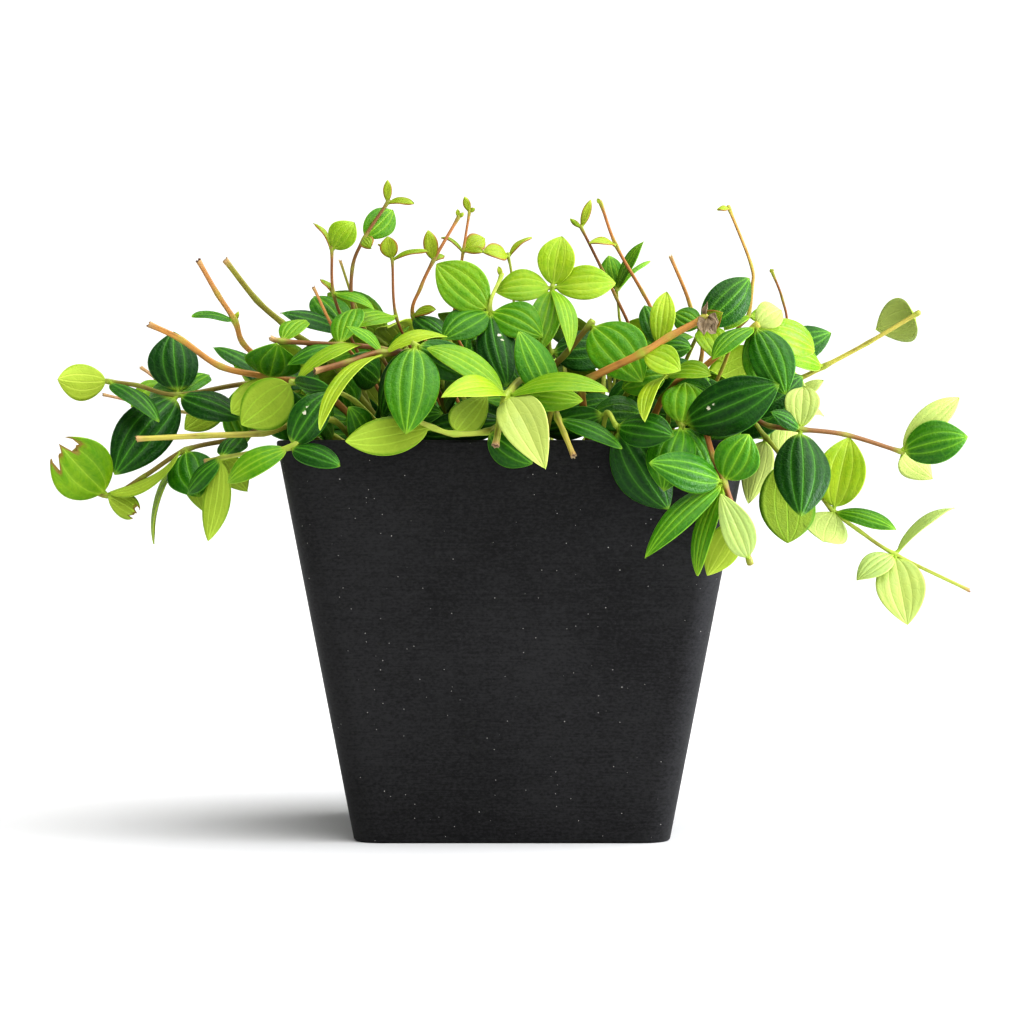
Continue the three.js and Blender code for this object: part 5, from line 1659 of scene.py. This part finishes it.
@dataclass(frozen=True)
class LeafFinish:
    """Glossy leaves, lime when young and dark when old, with pale veins, a matt pale underside and, on some,
    a painted glow.

    Each colour ramp runs from young to old. A pair is where a smooth step starts and ends, and sizes and
    noise scales go by the millimetre.
    """

    upper: Ramp = (
        (0, linear(150, 174, 28)),
        (0.25, linear(112, 152, 14)),
        (0.5, linear(64, 126, 8)),
        (0.75, linear(30, 90, 6)),
        (1, linear(12, 58, 8)),
    )
    under: Ramp = (
        (0, linear(162, 184, 58)),
        (0.5, linear(132, 158, 42)),
        (1, linear(84, 120, 34)),
    )
    vein: Ramp = (
        (0, linear(208, 222, 96)),
        (0.5, linear(150, 194, 48)),
        (0.75, linear(108, 168, 40)),
        (1, linear(80, 144, 38)),
    )
    veins: tuple[VeinLook, ...] = (VeinLook(0, 1), VeinLook(0.42, 0.75), VeinLook(0.76, 0.14))
    vein_half: Pair = (0.36, 0.06)
    vein_light: float = 0.5
    glow_half: Pair = (1.5, 0)
    glow_light: float = 0.26
    thread_cells: Triple = (0.5, 0.3, 1)
    thread_half: Pair = (0.12, 0)
    thread_light: float = 0.07
    ripened: Pair = (0.1, 0.7)
    young_light: float = 0.38
    under_light: float = 0.55
    patches: Clouds = Clouds(0.11)
    patch_depth: float = 0.4
    mottles: Clouds = Clouds(0.7, rough=0.6)
    mottle_depth: float = 0.3
    edge: Pair = (0.3, 0.08)
    edge_light: float = 0.6
    sprout: Colour = linear(146, 156, 36)
    sprout_mark: Pair = (-0.2, -0.8)
    sprout_share: float = 0.5
    sprout_edge: Colour = linear(146, 96, 44)
    sprout_rim: Pair = (0.65, 1)
    petiole: Colour = linear(144, 172, 50)
    petiole_end: Pair = (0.09, -0.03)
    tip: Pair = (0.94, 1)
    tip_share: float = 0.5
    # Painted glow: leaves with the glowing mark are mixed towards this whitish green, as if light shone
    # through them.
    backlit_glow: Colour = linear(206, 214, 150)
    backlit_mark: Pair = (2.4, 2.6)
    backlit_share: float = 0.36
    scar: Colour = linear(214, 212, 188)
    scar_slack: float = 0.3
    scars: tuple[Triple, ...] = ((1.7, 8.5, 0.5), (2.2, 10.2, 0.28))
    scar_clouds: Clouds = Clouds(1.9)
    scar_stray: float = 1.4
    scar_fade: Pair = (0.85, 0.6)
    bitten_most: float = 1.2
    browned: Colour = linear(128, 104, 44)
    browned_clouds: Clouds = Clouds(0.5)
    browned_stray: float = 0.2
    browned_end: Pair = (0.98, 1.08)
    husk: Colour = linear(84, 70, 52)
    husk_pale: Colour = linear(146, 128, 100)
    husk_clouds: Clouds = Clouds(0.9)
    husk_age: Pair = (1.2, 1.6)
    rough: float = 0.26
    rough_clouds: Clouds = Clouds(0.8)
    rough_range: float = 0.2
    under_rough: float = 0.2
    specular: float = 0.2
    cells: Clouds = Clouds(1.5, 2, 0.6)
    cell_height: float = 0.9
    cell_age: Pair = (-0.2, 0.9)
    vein_depth: float = 0.35
    thread_depth: float = 0.12
    relief: float = 0.00028

    def lines(self, desk: LeafDesk, band: Pair) -> Socket:
        """Bands along the veins.

        Args:
            desk: The material's desk.
            band: How far from a vein its band ends, and how far out it is full.

        Returns:
            How strongly the veins show.
        """
        found = []
        for vein in self.veins:
            gap = desk.times(desk.math("ABSOLUTE", desk.minus(desk.width, vein.place)), desk.half)
            found.append(desk.times(desk.smooth(gap, *band), vein.strength))
        return desk.greatest(found)

    def threads(self, desk: LeafDesk) -> Socket:
        """The fine net between the veins of a grown leaf."""
        net = desk.add("ShaderNodeTexVoronoi", feature="DISTANCE_TO_EDGE")
        desk.join(desk.stretched(desk.grain, self.thread_cells), net.inputs["Vector"])
        net.inputs["Scale"].default_value = 1
        return desk.times(desk.smooth(net.outputs["Distance"], *self.thread_half), desk.grown)

    def scarred(self, desk: LeafDesk) -> Socket:
        """Where a scarred leaf shows its pale scars."""
        x, y, _seed = desk.parts(desk.grain)
        first, full = self.scar_fade
        found = []
        for side, along, radius in self.scars:
            squares = [
                desk.math("POWER", desk.math("ABSOLUTE", desk.minus(value, middle)), 2)
                for value, middle in ((x, side), (y, along))
            ]
            stray = desk.times(desk.noise(desk.grain, self.scar_clouds), self.scar_stray)
            gap = desk.plus(desk.math("SQRT", desk.plus(*squares)), stray)
            found.append(desk.smooth(gap, radius + first, radius + full))
        marked = desk.math("COMPARE", desk.mark, Mark.SCARRED.value, self.scar_slack)
        return desk.times(desk.greatest(found), marked)

    def painted(self, desk: LeafDesk, veins: Socket, threads: Socket) -> Socket:
        """The colour of a sound, grown leaf.

        Args:
            desk: The material's desk.
            veins: How strongly the veins show.
            threads: How strongly the net between them shows.

        Returns:
            The colour.
        """
        glow = self.lines(desk, self.glow_half)
        patches = desk.drift(desk.grain, self.patches, self.patch_depth)
        mottles = desk.drift(desk.grain, self.mottles, self.mottle_depth)
        aged = desk.plus(desk.age, desk.plus(patches, desk.times(mottles, desk.grown)))
        pale = desk.ramp(desk.age, self.vein)
        light = desk.plus(desk.times(veins, self.vein_light), desk.times(glow, self.glow_light))
        light = desk.math("ADD", light, desk.times(threads, self.thread_light), clamp=True)
        ripe = desk.times(desk.smooth(desk.age, *self.ripened), 1 - self.young_light)
        light = desk.times(light, desk.plus(ripe, self.young_light))
        above = desk.mix(light, desk.ramp(aged, self.upper), pale)
        below = desk.mix(desk.times(veins, self.under_light), desk.ramp(aged, self.under), pale)
        edge = desk.smooth(desk.times(desk.minus(1, desk.width), desk.half), *self.edge)
        return desk.mix(desk.times(edge, self.edge_light), desk.mix(desk.upper, below, above), pale)

    def worn(self, desk: LeafDesk, face: Socket) -> Socket:
        """The leaf's colour with its petiole and tip, with what has happened to it, and with its painted
        glow.

        Args:
            desk: The material's desk.
            face: The colour of a sound, grown leaf.

        Returns:
            The colour.
        """
        rim = desk.times(desk.sprout, desk.smooth(desk.width, *self.sprout_rim))
        # Painted glow, a whitish paleness for light shining through the leaf, on leaves with that mark.
        pale = desk.times(desk.smooth(desk.mark, *self.backlit_mark), self.backlit_share)
        tip = desk.times(desk.smooth(desk.along, *self.tip), self.tip_share)
        stalk = desk.greatest([desk.smooth(desk.along, *self.petiole_end), tip])
        stray = desk.times(desk.noise(desk.grain, self.browned_clouds), self.browned_stray)
        ragged = desk.smooth(desk.plus(desk.mark, stray), *self.browned_end)
        bitten = desk.math("LESS_THAN", desk.mark, self.bitten_most)
        husk = desk.mix(desk.noise(desk.grain, self.husk_clouds), self.husk, self.husk_pale)
        for share, color in (
            (desk.times(desk.sprout, self.sprout_share), self.sprout),
            (rim, self.sprout_edge),
            (pale, self.backlit_glow),
            (stalk, self.petiole),
            (self.scarred(desk), self.scar),
            (desk.times(ragged, bitten), self.browned),
            (desk.smooth(desk.age, *self.husk_age), husk),
        ):
            face = desk.mix(share, face, color)
        return face

    def build(self) -> bpy.types.Material:
        """Builds the material."""
        desk = LeafDesk("peperomia_leaf", self.sprout_mark)
        veins = self.lines(desk, self.vein_half)
        threads = self.threads(desk)
        desk.set("Base Color", self.worn(desk, self.painted(desk, veins, threads)))
        under = desk.times(desk.minus(1, desk.upper), self.under_rough)
        rough = desk.times(desk.noise(desk.grain, self.rough_clouds), self.rough_range)
        desk.set("Roughness", desk.plus(desk.plus(rough, self.rough), under))
        desk.set("Specular IOR Level", self.specular)
        cells = desk.times(desk.noise(desk.grain, self.cells), desk.smooth(desk.age, *self.cell_age))
        cells = desk.times(desk.times(cells, desk.grown), self.cell_height)
        ridges = desk.plus(desk.times(veins, self.vein_depth), desk.times(threads, self.thread_depth))
        desk.bump(desk.minus(cells, ridges), self.relief)
        return desk.material


@dataclass(frozen=True)
class StemFinish:
    """Satin stems in the colour that each carries, streaked lengthwise."""

    dark: Colour = linear(96, 62, 34)
    streak_scale: Triple = (1.1, 0.05, 1)
    streaks: Clouds = Clouds(1, 1)
    streak_step: Pair = (0.4, 0.75)
    streak_share: float = 0.45
    spot_scale: Triple = (0.5, 0.2, 1)
    spots: Clouds = Clouds(1, 2)
    spot_step: Pair = (0.5, 0.8)
    spot_share: float = 0.4
    rough: float = 0.32
    rough_range: float = 0.25
    specular: float = 0.3

    def build(self) -> bpy.types.Material:
        """Builds the material."""
        desk = Desk("peperomia_stem")
        bark = desk.attribute("bark").outputs["Color"]
        grain = desk.attribute("grain").outputs["Vector"]
        streaks = desk.noise(desk.stretched(grain, self.streak_scale), self.streaks)
        spots = desk.noise(desk.stretched(grain, self.spot_scale), self.spots)
        streaked = desk.times(desk.smooth(streaks, *self.streak_step), self.streak_share)
        spotted = desk.times(desk.smooth(spots, *self.spot_step), self.spot_share)
        share = desk.math("ADD", streaked, spotted, clamp=True)
        desk.set("Base Color", desk.mix(share, bark, self.dark))
        desk.set("Roughness", desk.plus(desk.times(spots, self.rough_range), self.rough))
        desk.set("Specular IOR Level", self.specular)
        return desk.material


@dataclass(frozen=True)
class Speck:
    """One kind of speck: how many cells a metre has, its size in a cell, and how rarely a cell has one."""

    cells: float
    size: float
    rarity: float


@dataclass(frozen=True)
class PotFinish:
    """Matt black moulding with faint level streaks and tiny pale specks. Scales go by the metre."""

    body: Colour = linear(7, 7, 8)
    worn: Colour = linear(34, 34, 35)
    worn_step: Pair = (0.38, 0.62)
    streak_scale: Triple = (90, 90, 2400)
    streaks: Clouds = Clouds(1, 5, 0.6)
    streak_share: float = 0.25
    clouds: Clouds = Clouds(28, 4, 0.55)
    cloud_share: float = 0.25
    fine_scale: Triple = (900, 900, 1400)
    fine: Clouds = Clouds(1, 3, 0.7)
    fine_share: float = 0.5
    speck: Colour = linear(186, 184, 180)
    specks: tuple[Speck, ...] = (Speck(240, 0.048, 0.45), Speck(120, 0.034, 0.85), Speck(420, 0.065, 0.4))
    speck_core: float = 0.4
    rough: float = 0.45
    rough_range: float = 0.2
    specular: float = 0.2
    streak_height: float = 0.7
    fine_height: float = 0.3
    relief: float = 0.00006

    def build(self) -> bpy.types.Material:
        """Builds the material."""
        desk = Desk("matt_black_pot")
        place = desk.place()
        streaks = desk.noise(desk.stretched(place, self.streak_scale), self.streaks)
        clouds = desk.noise(place, self.clouds)
        fine = desk.noise(desk.stretched(place, self.fine_scale), self.fine)
        share = desk.plus(desk.times(streaks, self.streak_share), desk.times(clouds, self.cloud_share))
        share = desk.plus(share, desk.times(fine, self.fine_share))
        color = desk.mix(desk.smooth(share, *self.worn_step), self.body, self.worn)
        for kind in self.specks:
            cells = desk.add("ShaderNodeTexVoronoi")
            desk.join(place, cells.inputs["Vector"])
            cells.inputs["Scale"].default_value = kind.cells
            chosen = desk.math("GREATER_THAN", desk.parts(cells.outputs["Color"])[0], kind.rarity)
            dot = desk.smooth(cells.outputs["Distance"], kind.size, kind.size * self.speck_core)
            color = desk.mix(desk.times(dot, chosen), color, self.speck)
        desk.set("Base Color", color)
        desk.set("Roughness", desk.plus(desk.times(streaks, self.rough_range), self.rough))
        desk.set("Specular IOR Level", self.specular)
        height = desk.plus(desk.times(streaks, self.streak_height), desk.times(fine, self.fine_height))
        desk.bump(height, self.relief)
        return desk.material


@dataclass(frozen=True)
class SoilFinish:
    """Dark crumbly soil, paler where its crumbs and lumps stand up. Scales go by the metre."""

    # Darker in the hollows of the crumb bump and paler on its raised crumbs and lumps: the colour follows the
    # bump's height.
    deep: Colour = linear(34, 25, 19)
    raised_tone: Colour = linear(92, 70, 50)
    crumbs: Clouds = Clouds(420, 6, 0.65)
    crumb_step: Pair = (0.4, 0.72)
    lumps: Clouds = Clouds(90, 4, 0.6)
    lump_step: Pair = (0.3, 0.7)
    rough: float = 0.95
    relief: float = 0.0012

    def build(self) -> bpy.types.Material:
        """Builds the material."""
        desk = Desk("potting_soil")
        place = desk.place()
        crumbs = desk.noise(place, self.crumbs)
        lumps = desk.noise(place, self.lumps)
        share = desk.times(desk.smooth(crumbs, *self.crumb_step), desk.smooth(lumps, *self.lump_step))
        desk.set("Base Color", desk.mix(share, self.deep, self.raised_tone))
        desk.set("Roughness", self.rough)
        desk.bump(crumbs, self.relief)
        return desk.material


@dataclass(frozen=True)
class FoliagePieces:
    """The stems and leaves, one piece for each clump."""

    stems: list[Stem]
    leaf_skin: LeafSkin = LeafSkin()
    stem_skin: StemSkin = StemSkin()

    def clumps(self) -> dict[str, list[Stem]]:
        """The stems by their clump's name."""
        found: dict[str, list[Stem]] = {}
        for stem in self.stems:
            found.setdefault(stem.clump, []).append(stem)
        return found

    def build(self) -> None:
        """Builds and dresses every clump."""
        finishes = [LeafFinish().build(), StemFinish().build()]
        noise.seed_set(self.leaf_skin.crumple_seed)
        number = 0
        for clump, stems in self.clumps().items():
            skin = Skin()
            for stem in stems:
                self.stem_skin.dress(skin, stem, number)
                for blade in stem.blades:
                    number += 1
                    self.leaf_skin.dress(skin, blade, number)
            piece = skin.finished(f"foliage_{clump}", finishes)
            settle(piece, f"stem_{clump}")


def settle(piece: bpy.types.Object, node: str) -> None:
    """Puts a piece on the part's body in place of a node.

    Args:
        piece: The piece.
        node: The node that it stands for.
    """
    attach(piece, "root")
    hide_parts(node)
    LOG.info("%s: %d faces", piece.name, len(piece.data.polygons))


@dataclass(frozen=True)
class PotPiece:
    """The pot: a tapered square with rounded corners, open at the top, with drainage holes."""

    shape: PotShape
    corner_segments: int = 10
    edge_segments: int = 4
    drain_segments: int = 32
    level: float = 0.9
    sharp_angle: float = 35

    def rounded(
        self, mesh: bmesh.types.BMesh, edges: list[bmesh.types.BMEdge], radius: float, segments: int,
    ) -> None:
        """Rounds edges to a radius in millimetres."""
        bmesh.ops.bevel(
            mesh, geom=edges, offset=radius * MM, offset_type="OFFSET", segments=segments, profile=0.5,
            affect="EDGES", material=-1,
        )

    def block(self) -> bmesh.types.BMesh:
        """The pot's outer form, a tapered block with rounded upright edges."""
        mesh = bmesh.new()
        bmesh.ops.create_cube(mesh, size=2)
        for vert in mesh.verts:
            z = self.shape.height if vert.co.z > 0 else 0
            half = self.shape.outer_half(z)
            vert.co = Vector((math.copysign(half, vert.co.x), math.copysign(half, vert.co.y), z)) * MM
        upright = [edge for edge in mesh.edges if abs(edge.verts[0].co.z - edge.verts[1].co.z) > MM]
        self.rounded(mesh, upright, self.shape.corner_radius, self.corner_segments)
        return mesh

    def level_edges(self, mesh: bmesh.types.BMesh, z: float) -> list[bmesh.types.BMEdge]:
        """The edges that lie at a height."""
        near = WELD * 10
        return [edge for edge in mesh.edges if all(abs(vert.co.z - z * MM) < near for vert in edge.verts)]

    def build(self, finish: bpy.types.Material) -> bpy.types.Object:
        """Builds the pot.

        Args:
            finish: Its material.

        Returns:
            The piece.
        """
        shape = self.shape
        mesh = self.block()
        below_top = (shape.height - 1) * MM
        lid = next(face for face in mesh.faces if all(vert.co.z > below_top for vert in face.verts))
        bmesh.ops.inset_region(mesh, faces=[lid], thickness=shape.wall * MM, use_even_offset=True)
        sunk = bmesh.ops.extrude_face_region(mesh, geom=[lid])
        low = [item for item in sunk["geom"] if isinstance(item, bmesh.types.BMVert)]
        bmesh.ops.delete(mesh, geom=[lid], context="FACES")
        mouth, bed = (shape.outer_half(z) - shape.wall for z in (shape.height, shape.floor))
        bmesh.ops.scale(mesh, vec=(bed / mouth, bed / mouth, 1), verts=low)
        bmesh.ops.translate(mesh, vec=(0, 0, (shape.floor - shape.height) * MM), verts=low)
        bmesh.ops.recalc_face_normals(mesh, faces=mesh.faces)
        mesh.normal_update()
        top = self.level_edges(mesh, shape.height)
        rim = [edge for edge in top if min(face.normal.z for face in edge.link_faces) < self.level]
        base = self.level_edges(mesh, 0)
        for edges in (rim, base):
            self.rounded(mesh, edges, shape.edge_rounding, self.edge_segments)
        piece = modelled("black_pot", mesh)
        self.drill(piece)
        piece.data.materials.append(finish)
        for polygon in piece.data.polygons:
            polygon.use_smooth = True
        piece.data.set_sharp_from_angle(angle=self.sharp_angle * DEGREE)
        return piece

    def drill(self, piece: bpy.types.Object) -> None:
        """Cuts the drainage holes through the floor."""
        mesh = bmesh.new()
        radius, offset = self.shape.drain_radius * MM, self.shape.drain_offset * MM
        for x, y in ((1, 1), (-1, 1), (-1, -1), (1, -1)):
            made = bmesh.ops.create_cone(
                mesh, cap_ends=True, segments=self.drain_segments, radius1=radius, radius2=radius,
                depth=self.shape.floor * 4 * MM,
            )
            bmesh.ops.translate(mesh, vec=(x * offset, y * offset, 0), verts=made["verts"])
        drills = modelled("drains", mesh)
        cut = piece.modifiers.new("drains", "BOOLEAN")
        cut.operation = "DIFFERENCE"
        cut.solver = "EXACT"
        cut.object = drills
        graph = bpy.context.evaluated_depsgraph_get()
        finished = bpy.data.meshes.new_from_object(piece.evaluated_get(graph))
        piece.modifiers.clear()
        piece.data = finished
        bpy.data.objects.remove(drills)


@dataclass(frozen=True)
class Bumps:
    """Bumps of the soil: their height, how closely they follow each other, and where their pattern is cut."""

    height: float
    pace: float
    cut: float

    def rise(self, x: float, y: float) -> float:
        """How far they stand up or lie low at a place."""
        return noise.noise(Vector((x, y, self.cut)) * self.pace) * self.height


@dataclass(frozen=True)
class SoilPiece:
    """The soil: a crumbly crown inside the pot, in millimetres."""

    pot: PotShape
    soil: SoilShape
    cells: int = 110
    lumps: Bumps = Bumps(1.3, 0.11, 3)
    crumbs: Bumps = Bumps(1.1, 0.55, 9)
    slack: float = 0.05
    smooth_border: float = 3

    def build(self, finish: bpy.types.Material) -> bpy.types.Object:
        """Builds the soil.

        Args:
            finish: Its material.

        Returns:
            The piece.
        """
        mesh = bmesh.new()
        bmesh.ops.create_grid(mesh, x_segments=self.cells, y_segments=self.cells, size=1)
        inset = self.pot.wall + self.soil.gap + self.slack
        half = self.pot.outer_half(self.soil.top) - inset
        corner = self.pot.corner_radius - inset
        for vert in mesh.verts:
            x, y = vert.co.x * half, vert.co.y * half
            a, b = abs(x) - (half - corner), abs(y) - (half - corner)
            if a > 0 and b > 0 and math.hypot(a, b) > corner:
                pull = corner / math.hypot(a, b)
                x = math.copysign(half - corner + a * pull, x)
                y = math.copysign(half - corner + b * pull, y)
            inner = min(1, (half - max(abs(x), abs(y))) / self.smooth_border)
            rise = (self.lumps.rise(x, y) + self.crumbs.rise(x, y)) * inner
            vert.co = Vector((x, y, self.soil.height(x, y) + rise)) * MM
        rim = [edge for edge in mesh.edges if edge.is_boundary]
        skirt = bmesh.ops.extrude_edge_only(mesh, edges=rim)
        low = [item for item in skirt["geom"] if isinstance(item, bmesh.types.BMVert)]
        bottom = self.pot.floor + self.soil.gap
        narrowed = (self.pot.outer_half(bottom) - inset) / half
        for vert in low:
            vert.co = Vector((vert.co.x * narrowed, vert.co.y * narrowed, bottom * MM))
        bmesh.ops.holes_fill(mesh, edges=[edge for edge in mesh.edges if edge.is_boundary], sides=0)
        bmesh.ops.recalc_face_normals(mesh, faces=mesh.faces)
        return modelled("potting_soil", mesh, finish)


@dataclass(frozen=True)
class Studio:
    """The camera, the floor and the light, in metres and degrees. The sky lists its strength by height."""

    eye: Triple = (0, -0.93, 0.0998)
    lens: float = 103
    sensor: float = 36
    floor_size: float = 60
    floor_tone: float = 0.7
    floor_rough: float = 0.9
    sky: tuple[Pair, ...] = ((0, 0.6), (0.2, 0.6), (0.42, 0.25), (1, 0.22))
    key_from: Triple = (0.45, -0.24, 0.86)
    key_power: float = 4.9
    key_spread: float = 96
    side_place: Triple = (0.7, -0.16, 0.12)
    side_size: float = 0.4
    side_power: float = 7
    side_tint: Triple = (0.88, 0.9, 1)

    def camera(self) -> None:
        """Makes the camera at the photograph's angle."""
        data = bpy.data.cameras.new("camera")
        data.lens = self.lens
        data.sensor_width = self.sensor
        made = put("camera", data)
        made.location = self.eye
        made.rotation_euler = (90 * DEGREE, 0, 0)
        bpy.context.scene.camera = made
        bpy.context.scene.view_settings.view_transform = "Standard"
        bpy.context.scene.view_settings.look = "Medium High Contrast"

    def floor(self) -> None:
        """Makes the white floor."""
        mesh = bmesh.new()
        bmesh.ops.create_grid(mesh, x_segments=1, y_segments=1, size=self.floor_size / 2)
        desk = Desk("white_floor")
        desk.set("Base Color", (self.floor_tone, self.floor_tone, self.floor_tone, 1))
        desk.set("Roughness", self.floor_rough)
        desk.set("Specular IOR Level", 0)
        modelled("floor", mesh, desk.material)

    def heaven(self) -> None:
        """Makes the sky: plain white to the camera, and a dimmer light, dimmest overhead."""
        world = bpy.data.worlds.new("sky")
        world.use_nodes = True
        nodes, links = world.node_tree.nodes, world.node_tree.links
        way = nodes.new("ShaderNodeTexCoord")
        parts = nodes.new("ShaderNodeSeparateXYZ")
        ramp = nodes.new("ShaderNodeValToRGB")
        fill(ramp.color_ramp, tuple((height, (strength,) * 3 + (1,)) for height, strength in self.sky))
        seen = nodes.new("ShaderNodeLightPath")
        shown = nodes.new("ShaderNodeMix")
        shown.data_type = "RGBA"
        shown.inputs[7].default_value = (1, 1, 1, 1)
        links.new(way.outputs["Generated"], parts.inputs[0])
        links.new(parts.outputs["Z"], ramp.inputs["Fac"])
        links.new(seen.outputs["Is Camera Ray"], shown.inputs["Factor"])
        links.new(ramp.outputs["Color"], shown.inputs[6])
        links.new(shown.outputs[2], nodes["Background"].inputs["Color"])
        bpy.context.scene.world = world

    def key(self) -> None:
        """Makes the key light, from the right and the front."""
        data = bpy.data.lights.new("key", "SUN")
        data.energy = self.key_power
        data.angle = self.key_spread * DEGREE
        put("key", data).rotation_euler = Vector(self.key_from).to_track_quat("Z", "Y").to_euler()

    def side(self) -> None:
        """Makes the weak side light, from the right, aimed at the middle of the pot's rim."""
        data = bpy.data.lights.new("side", "AREA")
        data.energy = self.side_power
        data.size = self.side_size
        data.color = self.side_tint
        away = Vector(self.side_place) - Vector((0, 0, POT.height * MM))
        made = put("side", data)
        made.location = self.side_place
        made.rotation_euler = away.to_track_quat("Z", "Y").to_euler()

    def build(self) -> None:
        """Builds the floor, the sky and the lights."""
        self.floor()
        self.heaven()
        self.key()
        self.side()


def main() -> None:
    """Builds the whole scene and reports each piece."""
    logging.basicConfig(level=logging.INFO, format="%(message)s")
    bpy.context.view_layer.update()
    studio = Studio()
    studio.camera()
    settle(PotPiece(POT).build(PotFinish().build()), "pot")
    settle(SoilPiece(POT, SOIL).build(SoilFinish().build()), "soil")
    stems = grow_plant()
    FoliagePieces(stems).build()
    studio.build()


if __name__ == "__main__":
    main()
